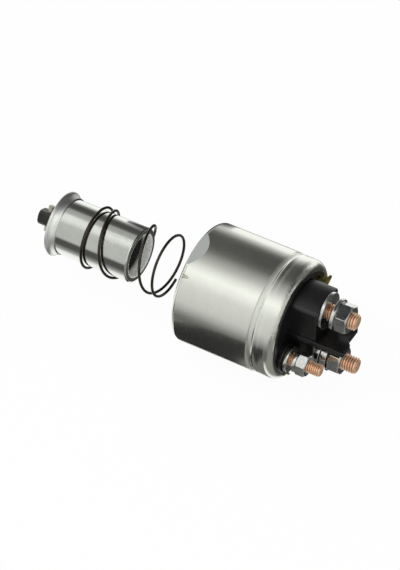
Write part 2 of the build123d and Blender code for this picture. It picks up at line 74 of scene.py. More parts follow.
bl_info = {
    "name": "Starter solenoid",
    "version": (1, 0, 0),
    "blender": (4, 5, 0),
    "location": "View3D > Sidebar > Solenoid",
    "description": "Builds a starter solenoid with its plunger drawn out of the housing",
    "category": "Add Mesh",
}

MM = 0.001
TURN = 2 * math.pi
TINY = 1e-6
SLOT_OF = {part["node"]: part["material_slot"] for part in frame["record"]["subparts"]}
BODY_OF = {
    node: body
    for body, nodes in frame["record"]["behaviour"]["bodies"].items()
    for node in nodes
}


def finish(slot):
    """The finish made here for one of the record's material slots."""
    return bpy.data.materials[f"{slot}_finish"]


def span(node):
    """Stations of a CAD node along X, lowest and highest, in millimetres."""
    low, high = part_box(node)
    return low.x / MM, high.x / MM


def centre(node):
    """Centre of a CAD node across the axis, (y, z) in millimetres."""
    low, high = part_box(node)
    return (low.y + high.y) / 2 / MM, (low.z + high.z) / 2 / MM


def half_width(node):
    """Half of a CAD node's extent along Y, in millimetres."""
    low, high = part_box(node)
    return (high.y - low.y) / 2 / MM


def polar(radius, degrees):
    """Point (y, z) at a radius and angle from +Y towards +Z."""
    return radius * math.cos(math.radians(degrees)), radius * math.sin(math.radians(degrees))


# The can, in millimetres: its end and radius, its groove, and the centre of its rolled lip
CAN_END = span("housing_can")[1]
CAN_R = half_width("housing_can")
BEAD_R = CAN_R - 0.2
GROOVE_X = CAN_END - 12.7
CURL = 3.9
CURL_X, CURL_R = CAN_END - CURL, BEAD_R - CURL

# Its ground flat: a plane sloping from the front edge up to the barrel
FLAT_ANGLE, FLAT_DEPTH, FLAT_LENGTH = 104.0, 2.3, 7.4
FLAT_OUT = Vector((0.0, *polar(1.0, FLAT_ANGLE)))
FLAT_NORMAL = (FLAT_OUT * FLAT_LENGTH - Vector((FLAT_DEPTH, 0.0, 0.0))).normalized()
FLAT_START = FLAT_OUT * (CAN_R - FLAT_DEPTH) * MM
FLAT_LEVEL = FLAT_NORMAL.dot(FLAT_START)

# The cap's floor between the terminals, and the underside of that floor
CAP_FLOOR = CAN_END - 1.0
CAP_CEILING = CAP_FLOOR - 2.2

# The plunger's two ends, its radius and the radius of its bore's mouth
PLUNGER_TAIL, PLUNGER_MOUTH = span("plunger_core")
PLUNGER_R = half_width("plunger_core")
MOUTH_R = 11.0


class Expr:
    """A socket's output; its operators add Math nodes to the tree it belongs to."""

    def __init__(self, tree, socket):
        self.tree = tree
        self.socket = socket

    def math(self, operation, *values):
        inputs = dict(enumerate(values))
        return self.tree.add("ShaderNodeMath", {"operation": operation}, inputs)

    def through(self, operation):
        """A function of this value alone, such as SQRT or CEIL."""
        return self.math(operation, self)

    def __add__(self, other):
        return self.math("ADD", self, other)

    def __sub__(self, other):
        return self.math("SUBTRACT", self, other)

    def __rsub__(self, other):
        return self.math("SUBTRACT", other, self)

    def __mul__(self, other):
        return self.math("MULTIPLY", self, other)

    def __truediv__(self, other):
        return self.math("DIVIDE", self, other)

    def __abs__(self):
        return self.through("ABSOLUTE")

    __radd__ = __add__
    __rmul__ = __mul__

    def low(self, other):
        """The smaller of the two."""
        return self.math("MINIMUM", self, other)

    def high(self, other):
        """The larger of the two."""
        return self.math("MAXIMUM", self, other)

    def above(self, limit):
        """1 above the limit, else 0."""
        return self.math("GREATER_THAN", self, limit)

    def below(self, limit):
        """1 below the limit, else 0."""
        return self.math("LESS_THAN", self, limit)

    def step(self, start, end):
        """0 below start, 1 above end, smooth between."""
        settings = {"interpolation_type": "SMOOTHSTEP"}
        inputs = {"Value": self, "From Min": start, "From Max": end}
        return self.tree.add("ShaderNodeMapRange", settings, inputs)


class Tree:
    """Adds nodes to a node tree through one method."""

    def __init__(self, graph):
        self.graph = graph

    def add(self, kind, settings=None, inputs=None, output=0):
        """One node, its settings made before its inputs; gives one of its outputs."""
        node = self.graph.nodes.new(kind)
        for name, value in (settings or {}).items():
            if name == "stops":
                self.set_stops(node.color_ramp, value)
            else:
                setattr(node, name, value)
        for key, value in (inputs or {}).items():
            if isinstance(value, Expr):
                self.graph.links.new(value.socket, node.inputs[key])
            else:
                node.inputs[key].default_value = value
        return Expr(self, node.outputs[output]) if node.outputs else None

    def set_stops(self, ramp, stops):
        """Stops of (place, grey level)."""
        while len(ramp.elements) < len(stops):
            ramp.elements.new(0.5)
        for element, (place, level) in zip(ramp.elements, stops):
            element.position = place
            element.color = (level, level, level, 1.0)

    def split(self, vector):
        """The three numbers of a vector."""
        parts = self.add("ShaderNodeSeparateXYZ", inputs={0: vector})
        return [Expr(self, socket) for socket in parts.socket.node.outputs]

    def place(self):
        """Object coordinates as three numbers."""
        return self.split(self.add("ShaderNodeTexCoord", output="Object"))

    def blend(self, factor, first, second):
        """First colour at factor 0, second at 1."""
        settings = {"data_type": "RGBA"}
        return self.add("ShaderNodeMix", settings, {0: factor, 6: first, 7: second}, 2)

    def strips(self, y, z, stops, top=1.0):
        """Grey strips along X, by stops of (degrees from +Y towards +Z, level)."""
        angle = z.math("ARCTAN2", z, y) / TURN + 1.0
        levels = [(degrees / 360, level / top) for degrees, level in stops]
        return self.add("ShaderNodeValToRGB", {"stops": levels}, {0: angle.through("FRACT")})


class ShapeTree(Tree):
    """A Geometry Nodes group with named inputs, ending in Realize Instances and Set Material."""

    KINDS = {float: "NodeSocketFloat", int: "NodeSocketInt"}

    def __init__(self, name, sizes):
        super().__init__(bpy.data.node_groups.new(name, "GeometryNodeTree"))
        face = self.graph.interface
        for label, default in sizes.items():
            socket = face.new_socket(label, in_out="INPUT", socket_type=self.KINDS[type(default)])
            socket.default_value = default
        face.new_socket("Finish", in_out="INPUT", socket_type="NodeSocketMaterial")
        face.new_socket("Shape", in_out="OUTPUT", socket_type="NodeSocketGeometry")
        entry = self.graph.nodes.new("NodeGroupInput")
        self.given = {socket.name: Expr(self, socket) for socket in entry.outputs if socket.name}

    def wound(self, shape, x, radius, angle, y, z):
        """Moves the shape's points to a station, radius and angle about a centre at (y, z)."""
        across = y + radius * angle.through("COSINE")
        up = z + radius * angle.through("SINE")
        place = self.add("ShaderNodeCombineXYZ", inputs={0: x, 1: across, 2: up})
        return self.add("GeometryNodeSetPosition", inputs={"Geometry": shape, "Position": place})

    def close(self, shape):
        """Ends the group in a real mesh with the finish on it."""
        real =self.add("GeometryNodeRealizeInstances", inputs={0: shape})
        inputs = {"Geometry": real, "Material": self.given["Finish"]}
        last = self.add("GeometryNodeSetMaterial", inputs=inputs)
        self.add("NodeGroupOutput", inputs={0: last})


def thread_group():
    """Screw thread as a grid whose rows follow the helix; its ends are chamfered and closed."""
    sizes = {
        "Start": 0.0, "End": 0.01, "Radius": 0.004, "Pitch": 0.00125, "Depth": 0.0007,
        "Centre Y": 0.0, "Centre Z": 0.0, "Steps per turn": 12, "Columns": 48,
    }
    tree = ShapeTree("Screw thread", sizes)
    start, end, radius, pitch, depth, y, z, steps, columns = (tree.given[name] for name in sizes)
    rows = (((end - start) / pitch + 1.0) * steps).through("CEIL") + 4.0
    counts = {"Vertices X": rows, "Vertices Y": columns + 1.0}
    grid = tree.add("GeometryNodeMeshGrid", inputs={"Size X": 1.0, "Size Y": 1.0} | counts)
    along, around, _ = tree.split(tree.add("GeometryNodeInputPosition"))
    around = around + 0.5
    row = ((along + 0.5) * (rows - 1.0)).through("ROUND")
    turns = (row - 1.0).high(0.0).low(rows - 3.0) / steps
    x = (start + (turns - 1.0 + around) * pitch).high(start).low(end)
    valley = 1.0 - abs(turns.through("FRACT") - 0.5) * 2.0
    valley = (valley * 1.3 - 0.15).high(0.0).low(1.0)
    chamfer = radius - depth * 1.05 + (x - start).low(end - x)
    is_end = (0.5 - row).above(0.0) + (row - (rows - 1.5)).above(0.0)
    profile = (radius - depth * valley).low(chamfer) * (1.0 - is_end)
    marked = tree.add(
        "GeometryNodeStoreNamedAttribute",
        {"data_type": "FLOAT", "domain": "POINT"},
        {"Geometry": grid, "Name": "groove", "Value": valley},
    )
    placed = tree.wound(marked, x, profile, around * TURN, y, z)
    inputs = {"Geometry": placed, "Distance": 1e-5}
    tree.close(tree.add("GeometryNodeMergeByDistance", inputs=inputs))


def spring_group():
    """Round wire wound about the X axis: closed turns at the start, open turns, closed turns."""
    sizes = {
        "Start": 0.0, "End": 0.01, "Mean radius": 0.005, "Wire radius": 0.0005,
        "Closed turns at start": 0.9, "Open turns": 3.0, "Closed turns at end": 0.9,
        "Closed pitch": 0.001, "First angle": 0.0, "Lift at start": 0.0, "Lift at end": 0.0,
        "Shift": 0.0, "Steps per turn": 72, "Wire sides": 16,
    }
    tree = ShapeTree("Coil spring", sizes)
    (start, end, mean, wire, first, opened, last, pitch, first_angle, low_lift, high_lift,
     shift, steps, sides) = (tree.given[name] for name in sizes)
    line = tree.add("GeometryNodeMeshLine", inputs={"Count": (first + opened + last) * steps + 1.0})
    turns = tree.add("GeometryNodeInputIndex") / steps
    share = ((turns - first) / opened).high(0.0).low(1.0)
    eased = share * share * (3.0 - share * 2.0)
    rise = end - start - (first + last) * pitch
    closed = turns.low(first) + (turns - first - opened).high(0.0)
    x = start + closed * pitch + rise * eased
    lift = low_lift + (high_lift - low_lift) * eased
    placed = tree.wound(line, x, mean, first_angle + turns * TURN, shift, lift)
    path = tree.add("GeometryNodeMeshToCurve", inputs={"Mesh": placed})
    circle = {"Resolution": sides, "Radius": wire}
    section = tree.add("GeometryNodeCurvePrimitiveCircle", inputs=circle)
    inputs = {"Curve": path, "Profile Curve": section, "Fill Caps": True}
    tree.close(tree.add("GeometryNodeCurveToMesh", inputs=inputs))


def linked(name, data):
    """New object, put in the scene."""
    piece = bpy.data.objects.new(name, data)
    bpy.context.scene.collection.objects.link(piece)
    return piece


def baked(piece):
    """The piece with its modifiers made part of its mesh."""
    depsgraph = bpy.context.evaluated_depsgraph_get()
    depsgraph.update()
    mesh = bpy.data.meshes.new_from_object(piece.evaluated_get(depsgraph))
    piece.modifiers.clear()
    piece.data = mesh
    return piece


def made_by(group, name, slot, sizes):
    """Object whose mesh a Geometry Nodes group makes from named sizes."""
    piece = linked(name, bpy.data.meshes.new(name))
    modifier = piece.modifiers.new(group, "NODES")
    modifier.node_group = bpy.data.node_groups[group]
    values = sizes | {"Finish": finish(slot)}
    for item in modifier.node_group.interface.items_tree:
        if item.name in values:
            modifier[item.identifier] = values[item.name]
    return baked(piece)


def threaded(name, slot, ends, radius, pitch, depth, place, steps=12, columns=48):
    """Threaded bar along X between two stations, in millimetres."""
    labels = ("Start", "End", "Radius", "Pitch", "Depth", "Centre Y", "Centre Z")
    lengths = (*ends, radius, pitch, depth, *place)
    sizes = {label: value * MM for label, value in zip(labels, lengths)}
    sizes |= {"Steps per turn": steps, "Columns": columns}
    return made_by("Screw thread", name, slot, sizes)


def object_from(mesh, name):
    """Object in the scene from a bmesh, with its normals turned outwards."""
    bmesh.ops.recalc_face_normals(mesh, faces=mesh.faces)
    data = bpy.data.meshes.new(name)
    mesh.to_mesh(data)
    mesh.free()
    return linked(name, data)


def ring_of(mesh, places, middle=(0.0, 0.0)):
    """Vertices at (station, radius, degrees) round a middle across the axis, in millimetres."""
    ring = []
    for x, radius, degrees in places:
        y, z = polar(radius, degrees)
        ring.append(mesh.verts.new((x * MM, (middle[0] + y) * MM, (middle[1] + z) * MM)))
    return ring


def bridged(mesh, rings, closed=False, around=True):
    """Faces between neighbouring rings, of which one may be a single point.

    Closed joins the last ring to the first, and around joins each ring's two ends.
    """
    for ring, following in zip(rings, rings[1:] + rings[:1] if closed else rings[1:]):
        count = max(len(ring), len(following))
        for i in range(count if around else count - 1):
            j = (i + 1) % count
            corners = [
                ring[i % len(ring)],
                ring[j % len(ring)],
                following[j % len(following)],
                following[i % len(following)],
            ]
            if count > 1:
                mesh.faces.new(list(dict.fromkeys(corners)))


def arc(x, r, radius, first, last, steps=8, rise=1.0):
    """Outline points on a circle or ellipse round (x, r), between two angles in degrees."""
    angles = [math.radians(first + (last - first) * i / steps) for i in range(steps + 1)]
    return [(x + radius * math.cos(a), r + rise * radius * math.sin(a), 0.0) for a in angles]


def softened(outline, radius=0.15, steps=3, axis=True):
    """Closed outline with each corner rounded; a third number is that corner's own radius.

    With axis, a second number of 0 is a point on the axis, and stays sharp.
    """
    points = []
    for i, corner in enumerate(outline):
        here = Vector(corner[:2])
        before = Vector(outline[i - 1][:2])
        after = Vector(outline[(i + 1) % len(outline)][:2])
        wanted = corner[2] if len(corner) > 2 else radius
        reach = min(wanted, 0.45 * (before - here).length, 0.45 * (after - here).length)
        if reach < TINY or (axis and here.y < TINY):
            points.append(here)
            continue
        a = here + (before - here).normalized() * reach
        b = here + (after - here).normalized() * reach
        for k in range(steps + 1):
            t = k / steps
            points.append(a * (1 - t) ** 2 + here * 2 * t * (1 - t) + b * t**2)
    return points


def turned(outline, name, segments=128, place=(0.0, 0.0), soft=0.15):
    """Piece turned about X from a closed outline of (x, radius) corners."""
    mesh = bmesh.new()
    rings = []
    for x, r in softened(outline, soft):
        count = 1 if r < TINY else segments
        rings.append(ring_of(mesh, [(x, r, 360 * i / segments) for i in range(count)], place))
    bridged(mesh, rings, closed=True)
    return object_from(mesh, name)


def inset(outline, amount):
    """Closed 2D outline moved inwards by an amount; its points run anticlockwise."""
    points = []
    for i, here in enumerate(outline):
        before, after = outline[i - 1], outline[(i + 1) % len(outline)]
        first, second = (here - before).normalized(), (after - here).normalized()
        normal = Vector((-first.y - second.y, first.x + second.x))
        scale = 1 + first.dot(second)
        points.append(here + normal * amount / max(scale, 0.2))
    return points


def along_axis(u, v, w):
    """Place of a prism that stands along X."""
    return w, u, v


def lying(u, v, w):
    """Place of a prism whose outline lies level."""
    return u, v, w


def prism(outline, low, high, name, edge, place=along_axis, steps=4, both=False):
    """Prism of a 2D outline with its end edges rounded; place turns (u, v, w) into X, Y, Z."""
    mesh = bmesh.new()
    angles = [math.pi / 2 * k / steps for k in range(steps + 1)]
    levels = [(high - edge * (1 - math.sin(a)), edge * (1 - math.cos(a))) for a in angles]
    lower = [(low + high - w, amount) for w, amount in reversed(levels)] if both else [(low, 0.0)]
    rings = []
    for w, amount in lower + levels:
        ring = [Vector(place(u, v, w)) * MM for u, v in inset(outline, amount)]
        rings.append([mesh.verts.new(point) for point in ring])
    bridged(mesh, rings)
    mesh.faces.new(rings[0][::-1])
    mesh.faces.new(rings[-1])
    return object_from(mesh, name)


def combine(piece, other, operation="DIFFERENCE"):
    """Cuts the other piece out of this one, or adds it with UNION, and removes the other."""
    modifier = piece.modifiers.new("Join", "BOOLEAN")
    modifier.operation = operation
    modifier.solver = "EXACT"
    modifier.object = other
    baked(piece)
    bpy.data.objects.remove(other)


def drilled(piece, ends, radius, place=(0.0, 0.0), segments=64):
    """Cuts a round hole along X between two stations."""
    hole = [(ends[0], 0.0), (ends[0], radius), (ends[1], radius), (ends[1], 0.0)]
    combine(piece, turned(hole, "drill", segments, place, 0.0))


def merged(piece, other):
    """Takes the other piece's mesh into this one as a second shell."""
    mesh = bmesh.new()
    mesh.from_mesh(piece.data)
    mesh.from_mesh(other.data)
    mesh.to_mesh(piece.data)
    mesh.free()
    bpy.data.objects.remove(other)
    return piece


def ready(piece, node, weighted=True, sharp=38.0, crease=None):
    """Smooths a finished piece and puts it in place of its CAD node, on that node's body.

    Edges sharper than an angle in degrees stay sharp, and so do those that crease picks.
    """
    mesh = bmesh.new()
    mesh.from_mesh(piece.data)
    bmesh.ops.recalc_face_normals(mesh, faces=mesh.faces)
    mesh.to_mesh(piece.data)
    mesh.free()
    piece.data.shade_smooth()
    piece.data.set_sharp_from_angle(angle=math.radians(sharp))
    if crease:
        for edge in piece.data.edges:
            edge.use_edge_sharp = edge.use_edge_sharp or crease(piece.data, edge)
    if weighted:
        modifier = piece.modifiers.new("Face-weighted normals", "WEIGHTED_NORMAL")
        modifier.keep_sharp = True
        baked(piece)
    piece.data.materials.clear()
    piece.data.materials.append(finish(SLOT_OF[node]))
    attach(piece, BODY_OF[node])
    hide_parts(node)


def a_length(name, description, value):
    """Property for a length in metres."""
    return FloatProperty(name=name, description=description, default=value, unit="LENGTH")


def an_angle(name, description, degrees):
    """Property for an angle, whose default is given in degrees."""
    value = math.radians(degrees)
    return FloatProperty(name=name, description=description, default=value, subtype="ANGLE")


def a_colour(name, description, value):
    """Property for a colour."""
    return FloatVectorProperty(name=name, description=description, default=value, subtype="COLOR")


class CanSizes(bpy.types.PropertyGroup):
    corner: a_length("Front corner", "Rounding of the can's front corner", 3.0 * MM)
    groove: a_length("Groove depth", "Depth of the rolled groove behind the barrel", 0.7 * MM)
    segments: IntProperty(
        name="Segments", description="Faces round the can", default=320, min=64, max=512
    )


class TerminalSizes(bpy.types.PropertyGroup):
    big_pitch: a_length("Large thread pitch", "Pitch of the battery and motor studs", 1.25 * MM)
    small_pitch: a_length("Small thread pitch", "Pitch of the switch stud", 1.0 * MM)
    battery_turn: an_angle("Battery nut turn", "Angle of a corner of the battery nut", 24)
    motor_turn: an_angle("Motor nut turn", "Angle of a corner of the motor nut", 11)
    switch_turn: an_angle("Switch nut turn", "Angle of a corner of the switch nut", 32)


class Finishes(bpy.types.PropertyGroup):
    steel: a_colour("Plated steel", "Colour of the can's satin plating", (0.74, 0.755, 0.685))
    copper: a_colour("Copper", "Colour of the studs", (1.0, 0.76, 0.53))
    moulding: a_colour("Moulding", "Colour of the terminal cap", (0.006, 0.006, 0.006))


class StageSizes(bpy.types.PropertyGroup):
    distance: a_length("Camera distance", "From the object", 1.3)
    soft_level: FloatProperty(
        name="Soft light", description="Level of the even light all round", default=0.62, min=0.0
    )


# Stretch of a pattern that draws it into rings round the axis
ROUND_AXIS = (1.0, 0.03, 0.03)


def noise(tree, scale, detail=3.0, roughness=0.5, stretch=(1.0, 1.0, 1.0)):
    """Noise on object coordinates, drawn out along the axes whose number is small."""
    place = tree.add("ShaderNodeTexCoord", output="Object")
    vector = tree.add("ShaderNodeMapping", inputs={"Vector": place, "Scale": stretch})
    inputs = {"Vector": vector, "Scale": scale, "Detail": detail, "Roughness": roughness}
    return tree.add("ShaderNodeTexNoise", inputs=inputs)


def bumped(tree, height, distance, under=None):
    """Bump of a height over another normal."""
    inputs = {"Height": height, "Distance": distance, "Strength": 1.0}
    if under:
        inputs["Normal"] = under
    return tree.add("ShaderNodeBump", inputs=inputs)


def new_finish(name):
    """Empty material and its tree."""
    material = bpy.data.materials.new(f"{name}_finish")
    material.use_nodes = True
    material.node_tree.nodes.clear()
    return Tree(material.node_tree)


def shaded(tree, **sockets):
    """Ends a material in a Principled shader."""
    inputs = {name.replace("_", " "): value for name, value in sockets.items()}
    shader = tree.add("ShaderNodeBsdfPrincipled", inputs=inputs)
    tree.add("ShaderNodeOutputMaterial", inputs={"Surface": shader})


def rgba(shade, level=1.0):
    """A colour, made darker or lighter by a level, as a socket takes it."""
    return (shade[0] * level, shade[1] * level, shade[2] * level, 1.0)


def metal(name, shade, rough, lines=0.25, mottle=0.2, dull=0.85):
    """Turned or plated metal: fine lines round the axis, mottling and duller patches."""
    tree = new_finish(name)
    fine = noise(tree, 2200.0, 2.0, stretch=ROUND_AXIS)
    patch = noise(tree, 160.0, 4.0, 0.6)
    grit = noise(tree, 900.0, 2.0)
    tone = (patch - 0.5) * mottle + 0.5 + (grit - 0.5) * mottle * 0.6
    base = tree.blend(tone.step(0.25, 0.75), rgba(shade, dull), rgba(shade))
    roughness = rough + (patch - 0.5) * mottle * 0.25 + (fine - 0.5) * lines * 0.2
    normal = bumped(tree, (fine - 0.5) * lines + (grit - 0.5) * mottle, 0.000005)
    shaded(tree, Base_Color=base, Metallic=1.0, Roughness=roughness, Normal=normal)


def can_steel(shade):
    """Satin plating: faint lines round the can, cloudy grain, a dull ground flat, a pressed lip."""
    tree = new_finish("zinc_steel")
    x, y, z = tree.place()
    fine = noise(tree, 1500.0, 3.0, stretch=(1.0, 0.02, 0.02))
    cloud = noise(tree, 45.0, 4.0, 0.6)
    grain = noise(tree, 700.0, 3.0, 0.6)
    n = FLAT_NORMAL
    flat = (x * n.x + y * n.y + z * n.z - FLAT_LEVEL).above(-0.02 * MM)
    flat = flat * x.below((FLAT_LENGTH + 1.6) * MM) * x.above(0.0)
    tone = (cloud - 0.5) * 0.5 + 0.5 + (grain - 0.5) * 0.3
    base = tree.blend(tone.step(0.2, 0.8), rgba(shade, 0.93), rgba(shade, 1.03))
    base = tree.blend(flat, base, rgba((0.68, 0.71, 0.69)))
    groove = x.step((GROOVE_X + 0.3) * MM, (GROOVE_X + 0.5) * MM)
    groove = groove * (1.0 - x.step((GROOVE_X + 2.1) * MM, (GROOVE_X + 2.5) * MM))
    roughness = 0.17 + (cloud - 0.5) * 0.08 + (fine - 0.5) * 0.05 + flat * 0.35 + groove * 0.25
    lip = x.step((CAN_END - 2.8) * MM, (CAN_END - 1.8) * MM)
    lip = lip * (1.0 - x.step((CAN_END - 0.3) * MM, CAN_END * MM)) * z.step(4 * MM, 14 * MM)
    lip = lip * (y * y + z * z).through("SQRT").above((CURL_R + 0.2) * MM)
    press = noise(tree, 520.0, 2.0, stretch=(0.6, 1.0, 1.0))
    normal = bumped(tree, (fine - 0.5) * 0.35 + (grain - 0.5) * 0.5, 0.000006)
    normal = bumped(tree, press.step(0.5, 0.62) * lip, 0.00003, normal)
    shaded(tree, Base_Color=base, Metallic=1.0, Roughness=roughness, Normal=normal)


def plunger_steel():
    """Ground bright steel. The collar is duller steel with painted shade on its top. In the bore,
    painted light makes the mouth pale and painted shade makes it dark farther in.
    """
    tree = new_finish("bright_steel")
    x, y, z = tree.place()
    radius = (y * y + z * z).through("SQRT")
    fine = noise(tree, 2200.0, 2.0, stretch=ROUND_AXIS)
    scratch = noise(tree, 1300.0, 3.0, 0.7, (0.05, 1.0, 1.0))
    patch = noise(tree, 160.0, 4.0, 0.6)
    collar = x.below((PLUNGER_TAIL + 13.2) * MM) * radius.above((PLUNGER_R + 0.06) * MM)
    bore = radius.below((MOUTH_R + 0.3) * MM) * x.above((PLUNGER_TAIL + 15.2) * MM)
    # Mask for the painted shade deep in the bore: 1 farther in, 0 near the mouth.
    depth = 1.0 - x.step((PLUNGER_MOUTH - 6.0) * MM, (PLUNGER_MOUTH - 3.5) * MM)
    tone = (patch * 0.5 + scratch * 0.5).step(0.35, 0.65)
    base = tree.blend(tone, rgba((0.69, 0.705, 0.66)), rgba((0.77, 0.785, 0.735)))
    # Painted shade: the collar's colour darkens towards its top, standing in for a dark reflection
    # there; the collar is also duller, rougher steel.
    painted_shade_on_top = (z + y * 0.4).step(9.0 * MM, 15.0 * MM)
    dull = tree.blend(painted_shade_on_top, rgba((0.78, 0.795, 0.755)), rgba((0.3, 0.305, 0.29)))
    # The bore's colour: painted light, near white, at the mouth, blending to painted shade, near
    # black, farther in.
    inner = tree.blend(depth, rgba((0.95, 0.97, 0.95)), rgba((0.03, 0.03, 0.028)))
    base = tree.blend(bore, tree.blend(collar, base, dull), inner)
    roughness = 0.075 + (patch - 0.5) * 0.04 + (scratch - 0.5) * 0.08 + collar * 0.22 + bore * 0.4
    marks = noise(tree, 900.0, 2.0, stretch=(0.5, 1.0, 1.0)).step(0.6, 0.68)
    across, up = polar(1.0, 125)
    rub = (y * across + z * up).step((PLUNGER_R - 1.1) * MM, (PLUNGER_R - 0.1) * MM)
    normal = bumped(tree, (fine - 0.5) * 0.4 + (scratch - 0.5) * 0.4, 0.000006)
    normal = bumped(tree, marks * rub, 0.00002, normal)
    metallic = 1.0 - bore - collar * 0.25
    shaded(tree, Base_Color=base, Metallic=metallic, Roughness=roughness, Normal=normal)


def yellow_plate():
    """Yellow plating: pale on the cross pin, dark olive with brown spots on the solder tags."""
    tree = new_finish("yellow_plate")
    tag = tree.place()[0].above(0.0)
    spot = noise(tree, 420.0, 3.0, 0.6)
    pin = tree.blend(spot.step(0.3, 0.7), rgba((0.46, 0.45, 0.36)), rgba((0.6, 0.59, 0.5)))
    plate = tree.blend(spot.step(0.35, 0.65), rgba((0.17, 0.15, 0.02)), rgba((0.07, 0.05, 0.015)))
    base = tree.blend(tag, pin, plate)
    metallic, roughness = 1.0 - tag * 0.5, 0.33 + spot * 0.15
    normal = bumped(tree, spot, 0.00002)
    shaded(tree, Base_Color=base, Metallic=metallic, Roughness=roughness, Normal=normal)


def copper_metal(shade):
    """Bare copper, browner in the bottom of the thread."""
    tree = new_finish("copper")
    groove = tree.add("ShaderNodeAttribute", {"attribute_name": "groove"}, output="Fac")
    spot = noise(tree, 420.0, 4.0, 0.6)
    base = tree.blend(spot.step(0.3, 0.7), rgba(shade), rgba((1.0, 0.6, 0.38)))
    base = tree.blend(groove.step(0.4, 1.0) * 0.8, base, rgba((0.3, 0.11, 0.05)))
    roughness = 0.2 + (spot - 0.5) * 0.2 + groove * 0.15
    normal = bumped(tree, spot, 0.00002)
    shaded(tree, Base_Color=base, Metallic=0.65, Roughness=roughness, Normal=normal)


def moulded(name, shade, rough, grain=0.25):
    """Moulded or rubbery material: fine grain and slightly uneven gloss."""
    tree = new_finish(name)
    fine = noise(tree, 2600.0)
    patch = noise(tree, 120.0)
    base = tree.blend(patch.step(0.3, 0.7), rgba(shade, 0.8), rgba(shade, 1.25))
    normal = bumped(tree, fine, 0.00004 * grain)
    shaded(tree, Base_Color=base, Roughness=rough + (patch - 0.5) * 0.12, Normal=normal)


def banded(name, light, dark, pitch, rough, metallic=0.0, tinned=None):
    """Layers wound side by side round the axis: wire or lapped tape, solder beyond a station."""
    tree = new_finish(name)
    x = tree.place()[0]
    turn = abs((x / pitch).through("FRACT") - 0.5) * 2.0
    spot = noise(tree, 300.0)
    base = tree.blend((turn * 0.8 + spot * 0.4).step(0.1, 0.9), rgba(light), rgba(dark))
    if tinned:
        base = tree.blend(x.above(tinned), base, rgba((0.20, 0.19, 0.13)))
    normal = bumped(tree, 1.0 - turn * turn, pitch * 0.3)
    roughness = rough + (spot - 0.5) * 0.15
    shaded(tree, Base_Color=base, Metallic=metallic, Roughness=roughness, Normal=normal)


class SOLENOID_OT_finishes(bpy.types.Operator):
    """Make every finish and give the CAD nodes theirs"""

    bl_idname = "solenoid.finishes"
    bl_label = "Finishes"

    def execute(self, context):
        colours = context.scene.solenoid_finishes
        can_steel(colours.steel)
        copper_metal(colours.copper)
        plunger_steel()
        metal("zinc_fastener", (0.74, 0.75, 0.72), 0.17, lines=0.05, mottle=0.8, dull=0.62)
        metal("brass", (0.72, 0.56, 0.26), 0.28)
        yellow_plate()
        metal("spring_black", (0.085, 0.075, 0.06), 0.3, lines=0.0, mottle=0.6, dull=0.5)
        metal("rod_black", (0.08, 0.077, 0.07), 0.38, lines=0.1, mottle=0.5, dull=0.6)
        moulded("phenolic", colours.moulding, 0.3)
        moulded("nylon", (0.66, 0.64, 0.56), 0.4, grain=0.5)
        moulded("seal_rubber", (0.02, 0.02, 0.02), 0.6, grain=1.0)
        banded("winding", (0.62, 0.27, 0.12), (0.28, 0.09, 0.03), 0.8 * MM, 0.3, 0.8, 52 * MM)
        banded("paper_wrap", (0.55, 0.43, 0.26), (0.42, 0.31, 0.17), 9.0 * MM, 0.6)
        for name, node in frame["nodes"].items():
            for place in node.material_slots:
                place.material = finish(SLOT_OF[name])
        return {"FINISHED"}


